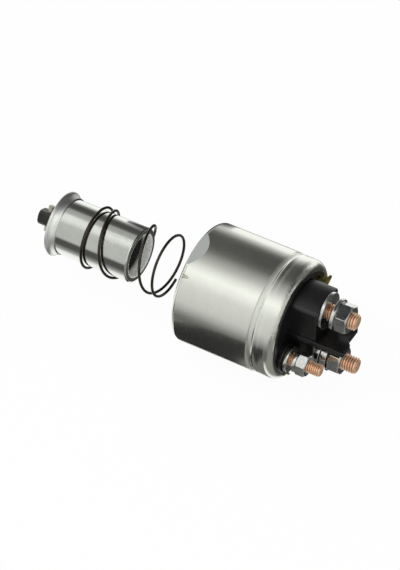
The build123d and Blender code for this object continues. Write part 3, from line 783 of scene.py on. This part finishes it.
class SOLENOID_OT_can(bpy.types.Operator):
    """Turn the housing can, with its groove, bead, rolled lip, ground flat and tapped holes"""

    bl_idname = "solenoid.can"
    bl_label = "Housing can"

    def execute(self, context):
        sizes = context.scene.solenoid_can
        corner, groove_r = sizes.corner / MM, CAN_R - sizes.groove / MM
        corner_rise, wall, thick, inner_curl = 1.6, 5.0, 2.0, 2.1
        mouth_r = half_width("bore_sleeve") + 0.05
        outline = [
            (0.0, mouth_r, 0.4),
            *arc(corner, CAN_R - corner_rise * corner, corner, 180, 90, 14, corner_rise),
            (GROOVE_X - 1.2, CAN_R, 0.0),
            (GROOVE_X, CAN_R, 0.12),
            (GROOVE_X + 0.45, groove_r, 0.25),
            (GROOVE_X + 2.25, groove_r, 0.5),
            (GROOVE_X + 3.2, BEAD_R, 0.6),
            (GROOVE_X + 4.6, BEAD_R - 0.12, 1.0),
            (GROOVE_X + 6.6, BEAD_R, 0.8),
            *arc(CURL_X, CURL_R, CURL, 90, 8, 14),
            (CAN_END, CURL_R + 0.1, 0.2),
            (CAN_END - 0.5, CURL_R, 0.2),
            (CURL_X + inner_curl, CURL_R, 0.0),
            *arc(CURL_X, CURL_R, inner_curl, 8, 90, 6),
            (CURL_X, CAN_R - thick, 0.0),
            (wall, CAN_R - thick, 0.5),
            (wall, mouth_r, 0.2),
        ]
        can = turned(outline, "can", sizes.segments)
        combine(can, self.flat_cutter())
        stake = [(2.2, 0.0), (2.2, 1.1), (5.6, 0.35), (5.6, 0.0)]
        combine(can, turned(stake, "stake", 24, polar(CAN_R, 133.5), 0.0))
        for bolt_angle in (90, 210, 330):
            place = polar(23.0, bolt_angle)
            ends = (-0.4, wall + 0.4)
            combine(can, threaded("tap", "zinc_steel", ends, 2.5, 0.8, 0.4, place, 8, 32))
        ready(can, "housing_can", sharp=24.0, crease=self.on_flat_border)
        return {"FINISHED"}

    def flat_cutter(self):
        """Block standing on the ground flat's plane."""
        reach, width, height = 3 * FLAT_LENGTH, 40, 8
        along = (FLAT_OUT * FLAT_DEPTH + Vector((FLAT_LENGTH, 0.0, 0.0))).normalized()
        aside = FLAT_NORMAL.cross(along)
        block = bmesh.new()
        bmesh.ops.create_cube(block, size=1.0)
        for vertex in block.verts:
            u, v, w = vertex.co
            place = along * u * reach + aside * v * width + FLAT_NORMAL * (w + 0.5) * height
            vertex.co = FLAT_START + place * MM
        return object_from(block, "flat_cutter")

    def on_flat_border(self, data, edge):
        """Whether the edge bounds the ground flat on the outer skin."""
        ends = [data.vertices[i].co for i in edge.vertices]
        on_plane = all(abs(FLAT_NORMAL.dot(end) - FLAT_LEVEL) < 2 * TINY for end in ends)
        return on_plane and all(0.2 * MM < end.x < (FLAT_LENGTH + 1.1) * MM for end in ends)


class SOLENOID_OT_cap(bpy.types.Operator):
    """Mould the terminal cap: shouldered disc, stud blocks, switch boss and barrier shelf"""

    bl_idname = "solenoid.cap"
    bl_label = "Terminal cap"

    def execute(self, context):
        front, back = span("terminal_cap")
        skirt_out = half_width("terminal_cap")
        skirt_in = skirt_out - 4.5
        shoulder = 1.95
        rim_x, rim_out, rim_in = CAP_FLOOR + 1.3, CURL_R - 0.15, CURL_R - 2.75
        outline = [
            (CAP_CEILING, 0.0),
            (CAP_CEILING, skirt_in),
            (front, skirt_in),
            (front, skirt_out),
            *arc(CURL_X, CURL_R, shoulder, 90, 5, 6),
            (CURL_X + shoulder, rim_out),
            (rim_x, rim_out, 0.35),
            (rim_x, rim_in, 0.35),
            (CAP_FLOOR, rim_in, 0.3),
            (CAP_FLOOR, 0.0),
        ]
        cap = turned(outline, "cap", 192)
        switch = centre("switch_stud")
        lower_half = -switch[0] - half_width("switch_base_washer") - 0.4
        upper = self.block(10.6)
        lower = [Vector((-u, -v)) for u, v in self.block(lower_half)]
        boss = [Vector(switch) + Vector(polar(7.2, 360 * i / 48)) for i in range(48)]
        for name, block, sunk, height, edge in (
            ("upper", upper, 0.5, 14.3, 0.7),
            ("lower", lower, 0.6, 12.3, 0.7),
            ("boss", boss, 0.7, 2.8, 0.4),
        ):
            solid = prism(block, CAP_CEILING + sunk, CAP_FLOOR + height, name, edge)
            combine(cap, solid, "UNION")
        combine(cap, self.shelf(back), "UNION")
        start = CAP_CEILING - 1
        for stud, hole_r in (("battery_stud", 4.05), ("motor_stud", 4.05), ("switch_stud", 3.05)):
            drilled(cap, (start, back), hole_r, centre(stud))
        drilled(cap, (start, CAP_CEILING + 8), 5.0)
        ready(cap, "terminal_cap", sharp=34.0)
        return {"FINISHED"}

    def block(self, half):
        """Half disc cut to a width, its two far corners rounded."""
        radius, corner, parts = CURL_R - 3.4, 3.0, 12
        side = math.sqrt(radius**2 - half**2)
        top = math.degrees(math.atan2(side, half))
        rim = [polar(radius, top + (180 - 2 * top) * i / parts) for i in range(1, parts)]
        points = [
            (-half, 0.0, 0.0),
            (half, 0.0, 0.0),
            (half, side, corner),
            *((y, z, 0.0) for y, z in rim if abs(y) < half - corner),
            (-half, side, corner),
        ]
        return softened(points, 0.0, 8, axis=False)

    def shelf(self, back):
        """Barrier between the studs, lying level, with one far corner notched and one cut off."""
        start, half, low, high = CAP_FLOOR - 0.8, 11.2, 0.2, 2.7
        outline = [
            (start, -half, 0.0),
            (back, -half, 0.9),
            (back, -4.0, 0.6),
            (back - 1.8, -2.2, 0.5),
            (back - 1.8, 7.0, 0.6),
            (back - 5.8, half, 0.6),
            (start, half, 0.0),
        ]
        points = softened(outline, 0.5, 5, axis=False)
        return prism(points, low, high, "shelf", 0.35, lying, both=True)


def nut(node, flats, turn, bore_r):
    """Hexagon nut: bore, countersunk faces, corners cut by a cone, slightly rounded edges."""
    x0, x1 = span(node)
    bends = (29.2, 28, 25, 21, 17, 13, 9, 4.5)
    offsets = (-30, *(-bend for bend in bends), 0, *reversed(bends))
    columns = [60 * side + 30 + offset for side in range(6) for offset in offsets]
    face_r = flats / 2 * 0.97
    limit = flats / 2 / math.cos(math.radians(bends[0]))
    slope = math.tan(math.radians(30))
    sink, edge = 0.35, (0.12, 0.06)

    def section(column):
        """Outline from the bore out to the flat and back to the bore."""
        hex_r = min(flats / 2 / math.cos(math.radians((column % 60) - 30)), limit)
        cone_x = 0.05 + (hex_r - face_r) * slope
        face = [
            (sink, bore_r),
            (0.0, bore_r + sink),
            (0.0, face_r),
            (cone_x, hex_r - edge[1]),
            (cone_x + edge[0], hex_r),
        ]
        return [(x0 + x, r) for x, r in face] + [(x1 - x, r) for x, r in reversed(face)]

    mesh = bmesh.new()
    rings = []
    for points in zip(*(section(column) for column in columns)):
        places = [(x, r, column + turn) for (x, r), column in zip(points, columns)]
        rings.append(ring_of(mesh, places, centre(node)))
    bridged(mesh, rings, closed=True)
    return object_from(mesh, node + "_plated")


def washer(node, bore_r, soft=0.25):
    """Flat washer of its node's size."""
    x0, x1 = span(node)
    r = half_width(node)
    outline = [(x0, bore_r), (x0, r), (x1, r), (x1, bore_r)]
    return turned(outline, node + "_plated", 96, centre(node), soft)


def spring_washer(node, bore_r, gap_angle, turns):
    """Spring washer: square-section wire wound once or twice, its ends slightly apart."""
    x0, x1 = span(node)
    r = half_width(node)
    gap, half_gap_angle = 0.12, 4
    thick = (x1 - x0) / turns - gap
    rise = x1 - x0 - thick
    section = softened([(0.0, bore_r), (0.0, r), (thick, r), (thick, bore_r)], 0.2)
    mesh = bmesh.new()
    rings = []
    steps = 88 * turns
    for i in range(steps + 1):
        around = gap_angle + half_gap_angle + (360 * turns - 2 * half_gap_angle) * i / steps
        start = x0 + rise * i / steps
        places = [(start + x, radius, around) for x, radius in section]
        rings.append(ring_of(mesh, places, centre(node)))
    bridged(mesh, rings)
    mesh.faces.new(rings[0])
    mesh.faces.new(rings[-1])
    return object_from(mesh, node + "_plated")


class SOLENOID_OT_terminals(bpy.types.Operator):
    """Cut the stud threads and stack washers and nuts on the studs"""

    bl_idname = "solenoid.terminals"
    bl_label = "Terminals"

    def execute(self, context):
        sizes = context.scene.solenoid_terminals
        plans = {
            "battery": (4.0, sizes.big_pitch, 0.72, 13.0, sizes.battery_turn),
            "motor": (4.0, sizes.big_pitch, 0.72, 13.0, sizes.motor_turn),
            "switch": (3.0, sizes.small_pitch, 0.58, 10.0, sizes.switch_turn),
        }
        for terminal, (r, pitch, depth, flats, turn) in plans.items():
            stud = f"{terminal}_stud"
            x0, x1 = span(stud)
            place, head_r = centre(stud), half_width(stud)
            ends = (CAP_CEILING - 0.3, x1)
            thread = threaded(stud + "_copper", "copper", ends, r, pitch / MM, depth, place)
            head = [(x0, 0.0), (x0, head_r), (CAP_CEILING, head_r), (CAP_CEILING, 0.0)]
            both = merged(thread, turned(head, "head", 64, place))
            ready(both, stud, weighted=False, sharp=50.0)
            node = f"{terminal}_nut"
            ready(nut(node, flats, math.degrees(turn), r - 0.5 * depth), node, sharp=26.0)
            node = f"{terminal}_base_washer"
            ready(washer(node, r + 0.15), node)
        ready(washer("battery_lug_washer", 4.15, 0.4), "battery_lug_washer")
        for node, bore_r, gap_angle, turns in (
            ("motor_spring_washer", 4.15, 20, 2),
            ("switch_spring_washer", 3.15, 100, 1),
        ):
            ready(spring_washer(node, bore_r, gap_angle, turns), node)
        return {"FINISHED"}


class SOLENOID_OT_solder_tags(bpy.types.Operator):
    """Bend the two solder tags, with the leads' ends soldered in"""

    bl_idname = "solenoid.solder_tags"
    bl_label = "Solder tags"

    def execute(self, context):
        self.upper_tag()
        self.lower_tab()
        for name in ("upper_coil_lead", "lower_coil_lead"):
            x0, x1 = span(name)
            r = half_width(name)
            blob = x1 - 1.6
            outline = [
                (x0, 0.0),
                (x0, r),
                (blob, r, 0.4),
                (blob + 0.7, r, 0.4),
                (x1, r * 0.8, 0.3),
                (x1, 0.0),
            ]
            ready(turned(outline, name + "_wire", 24, centre(name), 0.1), name)
        return {"FINISHED"}

    def upper_tag(self):
        """Foot on the cap's floor and, along its side, a forked flag reaching over the ring."""
        x0, x1 = span("upper_solder_tag")
        lead = Vector(centre("upper_coil_lead"))
        out = lead.normalized()
        side = Vector((-out.y, out.x))
        half, reach, thick = 1.9, 4.9, 0.8
        fork_x = x0 + 1.8
        middle = (fork_x + x1) / 2

        def foot(u, v, w):
            point = lead + out * u + side * v
            return w, point.x, point.y

        def flag(u, v, w):
            point = lead + out * v + side * w
            return u, point.x, point.y

        base = softened([(-2, -2), (2, -2), (2, 2), (-2, 2)], 0.1, axis=False)
        tag = prism(base, x0, x0 + thick, "upper_tag", 0.1, foot)
        profile = [
            (x0 + 0.1, -half, 0.1),
            (x1, -half, 0.5),
            (x1, reach, 0.5),
            (middle + 0.8, reach, 0.3),
            (middle, reach - 1.6, 0.4),
            (middle - 0.8, reach, 0.3),
            (fork_x, reach, 0.5),
            (fork_x, half, 0.2),
            (x0 + 0.1, half, 0.1),
        ]
        outline = softened(profile, 0.3, 5, axis=False)
        merged(tag, prism(outline, 1.15, 1.15 + thick, "flag", 0.12, flag, both=True))
        ready(tag, "upper_solder_tag")

    def lower_tab(self):
        """Ring round the switch stud with a tail, as the CAD node has it, its edges rounded."""
        x0, x1 = span("lower_solder_tab")
        stud = Vector(centre("switch_stud"))
        lead = Vector(centre("lower_coil_lead")) - stud
        ring_r, half, corner = 5.6, 1.8, 1.0
        tail = math.degrees(math.atan2(lead.y, lead.x))
        gap = math.degrees(math.asin(half / ring_r))
        ring = [polar(ring_r, tail + gap + (360 - 2 * gap) * i / 40) for i in range(41)]
        out = Vector(polar(1.0, tail))
        side = Vector((-out.y, out.x))
        reach = lead.length + 1.6
        inner, narrow = reach - corner, half - 0.8
        end = [out * inner - side * half, out * reach - side * narrow]
        end += [out * reach + side * narrow, out * inner + side * half]
        outline = [Vector(point) + stud for point in [*ring, *end]]
        tab = prism(outline, x0, x1, "lower_tab", 0.15, both=True)
        drilled(tab, (x0 - 1, x1 + 1), 3.15, stud, 48)
        ready(tab, "lower_solder_tab")


class SOLENOID_OT_plunger(bpy.types.Operator):
    """Turn the plunger, its flared collar and the parts seen in its bore"""

    bl_idname = "solenoid.plunger"
    bl_label = "Plunger and collar"

    def execute(self, context):
        x0, x1, r = PLUNGER_TAIL, PLUNGER_MOUTH, PLUNGER_R
        floor, step = x0 + 11.7, x1 - 9.0
        rod_r, bore_r, counterbore_r = 4.25, 9.4, MOUTH_R - 0.5
        outline = [
            (x0, rod_r, 0.3),
            (x0, r, 0.3),
            (x1 - 0.6, r, 0.12),
            (x1, r - 0.6, 0.12),
            (x1, MOUTH_R, 0.1),
            (x1 - 0.5, counterbore_r, 0.1),
            (step, counterbore_r, 0.5),
            (step, bore_r, 0.3),
            (floor, bore_r, 0.8),
            (floor, rod_r, 0.2),
        ]
        ready(turned(outline, "plunger", 256, soft=0.2), "plunger_core", sharp=30.0)
        x0, x1 = span("spring_collar")
        rim = half_width("spring_collar")
        collar = [
            (x1, r + 0.05, 0.1),
            (x1, r + 0.62, 0.12),
            (x1 - 0.9, r + 0.7, 0.4),
            (x1 - 2.0, r + 1.0, 0.7),
            (x0 + 1.5, rim - 0.75, 0.5),
            (x0 + 1.0, rim - 0.05, 0.3),
            (x0 + 0.1, rim, 0.3),
            (x0, rim - 0.9, 0.3),
            (x0 + 0.75, r + 0.1, 0.3),
        ]
        ready(turned(collar, "collar", 256), "spring_collar", sharp=30.0)
        x0, x1 = span("spring_seat")
        seat = [(x0, 3.05), (x0, 9.1), (x1, 9.1), (x1, 3.05)]
        ready(turned(seat, "seat", 96, soft=0.3), "spring_seat")
        return {"FINISHED"}


class SOLENOID_OT_pull_rod(bpy.types.Operator):
    """Turn the pull rod, mill its flats, drill it and fit the cross pin"""

    bl_idname = "solenoid.pull_rod"
    bl_label = "Pull rod and pin"

    def execute(self, context):
        x0, x1 = span("pull_rod")
        r, flange_r, neck_r = 4.2, 6.0, 3.0
        flange_x, neck_x = PLUNGER_TAIL - 1.6, PLUNGER_TAIL + 12.7
        outline = [
            (x0, 0.0),
            (x0, r, 0.8),
            (flange_x, r, 0.3),
            (flange_x, flange_r, 0.4),
            (PLUNGER_TAIL - 0.1, flange_r, 0.4),
            (PLUNGER_TAIL - 0.1, r, 0.1),
            (neck_x, r, 0.3),
            (neck_x, neck_r, 0.3),
            (x1 - 1.5, neck_r, 0.1),
            (x1 - 1.5, r, 0.3),
            (x1, r, 0.7),
            (x1, 0.0),
        ]
        rod = turned(outline, "rod", 96)
        tilt = math.radians(26.0)
        out = Vector((0.0, math.sin(tilt), math.cos(tilt)))
        side = Vector((0.0, math.cos(tilt), -math.sin(tilt)))
        for across, away, left in ((out, side, 3.5), (-out, -side, 3.5), (side, out, 3.3)):
            self.mill(rod, across, away, left, x0 - 1)
        drill = self.pin_shape(8.0, 1.65, 0.0, "drill")
        self.stand(drill, out, side, x0 + 4.6)
        combine(rod, drill)
        ready(rod, "pull_rod", sharp=30.0)
        pin = self.pin_shape(6.5, 1.6, 0.45, "pin")
        self.stand(pin, out, side, x0 + 4.6)
        ready(pin, "cross_pin")
        return {"FINISHED"}

    def mill(self, rod, across, away, left, start):
        """Mills one flat on the rod's eye, which leaves a distance from the axis."""
        square = [Vector(corner) for corner in ((-6, 0), (6, 0), (6, 4), (-6, 4))]

        def place(u, v, w):
            point = across * u + away * (left + v)
            return start + w, point.y, point.z

        combine(rod, prism(square, 0.0, 9.4, "mill", 0.0, place, steps=1))

    def pin_shape(self, half, radius, soft, name):
        """Plain pin along X, half of it on each side of X = 0."""
        outline = [(-half, 0.0), (-half, radius, soft), (half, radius, soft), (half, 0.0)]
        return turned(outline, name, 48, soft=0.0)

    def stand(self, piece, out, side, x):
        """Turns a piece made along X to the pin's direction, at its station."""
        turn = Matrix((out, side, out.cross(side))).transposed().to_4x4()
        piece.data.transform(Matrix.Translation((x * MM, 0.0, 0.0)) @ turn)


class SOLENOID_OT_springs(bpy.types.Operator):
    """Wind the return spring, the engagement spring and the contact's two springs"""

    bl_idname = "solenoid.springs"
    bl_label = "Springs"

    def execute(self, context):
        x0, x1 = span("return_spring")
        lean = {"Lift at start": 0.1, "Lift at end": 0.75, "Shift": 0.1}
        ends = (x0 + 2.25, x1 + 0.25)
        self.wind("return_spring", ends, 15.2, 0.67, (0.75, 2.5, 0.69), 0.7, -40.5, lean)
        for name, mean, wire, turns in (
            ("engagement_spring", 7.2, 0.8, 4.2),
            ("contact_spring", 3.95, 0.4, 2.2),
            ("contact_return_spring", 3.9, 0.4, 5.0),
        ):
            x0, x1 = span(name)
            self.wind(name, (x0 + wire, x1 - wire), mean, wire, (0.6, turns, 0.6), 2.1 * wire)
        springs = bpy.data.objects
        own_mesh(springs["return_spring_wire"])
        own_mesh(springs["engagement_spring_wire"])
        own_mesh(springs["contact_return_spring_wire"])
        return {"FINISHED"}

    def wind(self, node, ends, mean, wire, turns, pitch, first=0.0, lean=None):
        """One spring in place of its CAD node, in millimetres; its first angle is in degrees."""
        lengths = {"Start": ends[0], "End": ends[1], "Mean radius": mean, "Wire radius": wire}
        lengths |= {"Closed pitch": pitch} | (lean or {})
        sizes = {label: value * MM for label, value in lengths.items()}
        sizes.update(zip(("Closed turns at start", "Open turns", "Closed turns at end"), turns))
        sizes["First angle"] = math.radians(first)
        spring = made_by("Coil spring", node + "_wire", SLOT_OF[node], sizes)
        ready(spring, node, weighted=False, sharp=50.0)


class SOLENOID_OT_bore(bpy.types.Operator):
    """Turn the sleeve, contact rod and contact disc, seen through the front bore"""

    bl_idname = "solenoid.bore"
    bl_label = "Bore parts"

    def execute(self, context):
        x0, x1 = span("bore_sleeve")
        r = half_width("bore_sleeve")
        sleeve = [(x0, r - 0.7), (x0, r), (x1, r), (x1, r - 0.7)]
        ready(turned(sleeve, "sleeve", 192, soft=0.25), "bore_sleeve")
        x0, x1 = span("contact_rod")
        flange_x, r, flange_r, tip_r = x0 + 16.6, 3.0, 4.9, 2.4
        rod = [
            (x0, 0.0),
            (x0, tip_r, 0.2),
            (x0 + 0.6, r, 0.2),
            (flange_x, r, 0.1),
            (flange_x, flange_r, 0.2),
            (flange_x + 1.0, flange_r, 0.2),
            (flange_x + 1.0, r, 0.1),
            (x1 - 0.6, r, 0.2),
            (x1, tip_r, 0.2),
            (x1, 0.0),
        ]
        ready(turned(rod, "contact_spindle", 64), "contact_rod")
        x0, x1 = span("contact_disc")
        disc = [(x0, 4.05), (x0, 17.0), (x1, 17.0), (x1, 4.05)]
        ready(turned(disc, "contact_plate", 128, soft=0.3), "contact_disc")
        return {"FINISHED"}


class SOLENOID_OT_stage(bpy.types.Operator):
    """Set the camera, the floor, the soft light and the studio that the metal mirrors"""

    bl_idname = "solenoid.stage"
    bl_label = "Studio"

    # The camera's turn and lens, and where it looks: millimetres to its right and upwards
    AZIMUTH, ELEVATION, ROLL = 30.0, 44.6, 0.3
    LENS, SENSOR = 176.5, 36.0
    AIM = (-0.14, -2.19)

    # Mirrored cards: two opposite corners in millimetres, colour, and the fade's end in half widths
    CARDS = (
        ("Card under the can", (-62, -250, -120), (-2, 20, -120), (0.035, 0.035, 0.035), 4.0),
        ("Card under the bead", (-2, -250, -120), (35, 20, -120), (0.2, 0.2, 0.195), 4.0),
        ("Card beside the nuts", (40, -50, -38), (74, -50, -2), (0.155, 0.155, 0.15), 1.0),
        ("Card under the collar", (-60, 10, -140), (0, 100, -140), (1.0, 1.0, 0.98), 4.0),
        ("Card behind the collar", (-65, 58, -30), (-8, 58, 40), (0.08, 0.08, 0.078), 1.3),
    )

    # The studio's grey levels round the X axis, by degrees from +Y towards +Z
    STUDIO = (
        (0, 1.1), (13, 0.52), (25, 0.15), (37, 0.085), (61, 0.085), (73, 0.15), (85, 0.38),
        (97, 0.62), (109, 1.0), (121, 1.3), (133, 1.12), (147, 0.86), (181, 0.72), (193, 0.5),
        (205, 0.22), (217, 0.13), (235, 0.5), (247, 1.0), (262, 1.15), (298, 1.1), (307, 0.1),
        (321, 0.12), (333, 1.1), (345, 1.2),
    )
    GLOSS = 1.4

    # The same round the drawn-out plunger
    SURROUND = (
        (0, 1.2), (12, 1.0), (24, 0.28), (34, 0.1), (44, 0.075), (58, 0.11), (66, 0.4), (84, 0.52),
        (92, 0.92), (108, 1.02), (118, 0.86), (128, 0.66), (140, 0.6), (182, 0.6), (188, 0.42),
        (193, 0.1), (214, 0.1), (220, 0.18), (232, 0.38), (240, 0.6), (246, 1.0), (262, 1.1),
    )

    def execute(self, context):
        sizes = context.scene.solenoid_stage
        self.camera(context.scene, sizes.distance)
        self.world(context.scene, sizes.soft_level)
        self.floor()
        for name, low, high, shade, spread in self.CARDS:
            self.card(name, Vector(low) * MM, Vector(high) * MM, shade, spread)
        low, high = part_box("battery_nut")
        middle = (low + high) / 2 - Vector((3.0, 3.5, 0.0)) * MM
        middle.z = high.z + 7.0 * MM
        corner = Vector((9.0, 9.0, 0.0)) * MM
        shade = (0.06, 0.062, 0.068)
        self.card("Card over the battery nut", middle - corner, middle + corner, shade, 1.0)
        self.surround()
        self.lamp("Key light", (-0.45, -0.5, 0.9), 0.7, 5.0)
        self.lamp("Fill light", (0.7, -0.7, 0.5), 0.6, 2.0)
        return {"FINISHED"}

    def camera(self, scene, distance):
        """Camera turned as the photograph's was, looking at a point near the origin."""
        az, el, roll = (math.radians(a) for a in (self.AZIMUTH, self.ELEVATION, self.ROLL))
        right = Vector((math.cos(az), math.sin(az), 0.0))
        back = Vector((math.sin(az) * math.cos(el), -math.cos(az) * math.cos(el), math.sin(el)))
        up = back.cross(right)
        right, up = (
            right * math.cos(roll) + up * math.sin(roll),
            up * math.cos(roll) - right * math.sin(roll),
        )
        data = bpy.data.cameras.new("Camera")
        data.sensor_fit = "VERTICAL"
        data.sensor_height = self.SENSOR
        data.lens = self.LENS
        data.clip_end = 20.0
        camera = linked("Camera", data)
        middle = (right * self.AIM[0] + up * self.AIM[1]) * MM
        turn = Matrix((right, up, back)).transposed().to_4x4()
        camera.matrix_world = Matrix.Translation(middle + back * distance) @ turn
        scene.camera = camera
        scene.view_settings.view_transform = "Standard"

    def world(self, scene, soft_level):
        """White to the camera, even light on everything, and strips round the axis for metal."""
        world = bpy.data.worlds.new("Studio")
        scene.world = world
        world.use_nodes = True
        world.node_tree.nodes.clear()
        world.cycles.sampling_method = "NONE"
        tree = Tree(world.node_tree)
        x, y, z = tree.split(tree.add("ShaderNodeTexCoord", output="Generated"))
        ramp = tree.strips(y, z, self.STUDIO, self.GLOSS)
        mirrored = tree.blend(abs(x).step(0.8, 0.98), ramp, rgba((0.5, 0.5, 0.5)))
        low_rear = x.step(0.0, 0.25) * (1.0 - z.step(-0.5, -0.2))
        rear = x.step(0.4, 0.6) * y.step(0.4, 0.6) * z.step(-0.5, -0.3)
        for mask, shade in (
            (low_rear, (0.22, 0.22, 0.21)),
            (low_rear * y.step(0.3, 0.5), (0.05, 0.052, 0.05)),
            (rear, (0.12, 0.12, 0.115)),
            ((0.0 - x).step(0.4, 0.52) * 0.8, (0.78, 0.8, 0.77)),
        ):
            mirrored = tree.blend(mask, mirrored, rgba(shade))
        kinds = ("Is Camera Ray", "Is Glossy Ray", "Is Transmission Ray")
        seen, glossy, clear = (tree.add("ShaderNodeLightPath", output=kind) for kind in kinds)
        even = (1.0 - glossy - seen - clear).high(0.0) * soft_level
        shade = tree.blend(glossy, rgba((1.0, 1.0, 1.0)), mirrored)
        inputs = {"Color": shade, "Strength": glossy * self.GLOSS + seen + clear + even}
        background = tree.add("ShaderNodeBackground", inputs=inputs)
        tree.add("ShaderNodeOutputWorld", inputs={"Surface": background})

    def sheet(self, name, corners):
        """Flat face between four corners."""
        mesh = bmesh.new()
        mesh.faces.new([mesh.verts.new(corner) for corner in corners])
        return object_from(mesh, name)

    def floor(self):
        """Plain pale floor: near white to the camera, with a faint shadow kept."""
        level, half = -(round(CAN_R, 1) + 1.0) * MM, 3.0
        corners = ((-half, -half), (half, -half), (half, half), (-half, half))
        floor = self.sheet("Floor", [(x, y, level) for x, y in corners])
        tree = new_finish("pale_floor")
        seen = tree.add("ShaderNodeLightPath", output="Is Camera Ray")
        glow = tree.add("ShaderNodeEmission", inputs={"Color": rgba((1.0, 1.0, 1.0))})
        base = tree.blend(noise(tree, 90.0), rgba((0.86, 0.86, 0.86)), rgba((0.9, 0.9, 0.9)))
        plain = tree.add("ShaderNodeBsdfDiffuse", inputs={"Color": base})
        mix = tree.add("ShaderNodeMixShader", inputs={0: seen * 0.96, 1: plain, 2: glow})
        tree.add("ShaderNodeOutputMaterial", inputs={"Surface": mix})
        floor.data.materials.append(finish("pale_floor"))
        floor.visible_glossy = False

    def card(self, name, low, high, shade, spread):
        """Card seen only in the reflections of what lies near it; it fades out past its spread."""
        corners = [low, (high.x, low.y, low.z), high, (low.x, high.y, high.z)]
        tree = new_finish(name)
        place = tree.add("ShaderNodeTexCoord", output="Object")
        settings, inputs = {"operation": "DISTANCE"}, {0: place, 1: (low + high) / 2}
        away = tree.add("ShaderNodeVectorMath", settings, inputs, "Value")
        reach = (high - low).length / 2 / math.sqrt(2)
        fade = (away / reach).step(0.55 * spread, spread)
        self.mirrored_only(self.sheet(name, corners), tree, rgba(shade), fade)

    def surround(self):
        """Half tube round the drawn-out plunger: the bands that only the plunger mirrors."""
        mesh = bmesh.new()
        radius, ends, last = 150, (-210, -80), 260
        rings = [ring_of(mesh, [(x, radius, a) for a in range(0, last + 1, 3)]) for x in ends]
        bridged(mesh, rings, around=False)
        tree = new_finish("Plunger surround")
        _, y, z = tree.place()
        ramp = tree.strips(y, z, self.SURROUND)
        self.mirrored_only(object_from(mesh, "Plunger surround"), tree, ramp)

    def mirrored_only(self, piece, tree, shade, fade=None):
        """Gives the piece a glowing finish and hides it from all but glossy rays."""
        glow = tree.add("ShaderNodeEmission", inputs={"Color": shade})
        if fade:
            clear = tree.add("ShaderNodeBsdfTransparent")
            glow = tree.add("ShaderNodeMixShader", inputs={0: fade, 1: glow, 2: clear})
        tree.add("ShaderNodeOutputMaterial", inputs={"Surface": glow})
        piece.data.materials.append(finish(piece.name))
        piece.visible_camera = False
        piece.visible_diffuse = False
        piece.visible_shadow = False
        piece.visible_transmission = False

    def lamp(self, name, place, size, power):
        """Square lamp that points at the object and isn't mirrored."""
        data = bpy.data.lights.new(name, "AREA")
        data.size = size
        data.energy = power
        lamp = linked(name, data)
        lamp.location = place
        lamp.rotation_euler = (-Vector(place)).to_track_quat("-Z", "Y").to_euler()
        lamp.visible_glossy = False
        lamp.visible_camera = False


STEPS = (
    SOLENOID_OT_finishes,
    SOLENOID_OT_can,
    SOLENOID_OT_cap,
    SOLENOID_OT_terminals,
    SOLENOID_OT_solder_tags,
    SOLENOID_OT_plunger,
    SOLENOID_OT_pull_rod,
    SOLENOID_OT_springs,
    SOLENOID_OT_bore,
    SOLENOID_OT_stage,
)

GROUPS = {
    "solenoid_can": CanSizes,
    "solenoid_terminals": TerminalSizes,
    "solenoid_finishes": Finishes,
    "solenoid_stage": StageSizes,
}


class SOLENOID_PT_panel(bpy.types.Panel):
    bl_label = "Starter solenoid"
    bl_idname = "SOLENOID_PT_panel"
    bl_space_type = "VIEW_3D"
    bl_region_type = "UI"
    bl_category = "Solenoid"

    def draw(self, context):
        for step in STEPS:
            self.layout.operator(step.bl_idname)
        for name in GROUPS:
            group = getattr(context.scene, name)
            for key in group.bl_rna.properties.keys():
                if key not in ("rna_type", "name"):
                    self.layout.prop(group, key)


def register():
    for cls in (*GROUPS.values(), *STEPS, SOLENOID_PT_panel):
        bpy.utils.register_class(cls)
    for name, cls in GROUPS.items():
        setattr(bpy.types.Scene, name, PointerProperty(type=cls))


def unregister():
    for name in GROUPS:
        delattr(bpy.types.Scene, name)
    for cls in (SOLENOID_PT_panel, *reversed(STEPS), *GROUPS.values()):
        bpy.utils.unregister_class(cls)


def main():
    register()
    thread_group()
    spring_group()
    for step in STEPS:
        space, name = step.bl_idname.split(".")
        getattr(getattr(bpy.ops, space), name)()


if __name__ == "__main__":
    main()
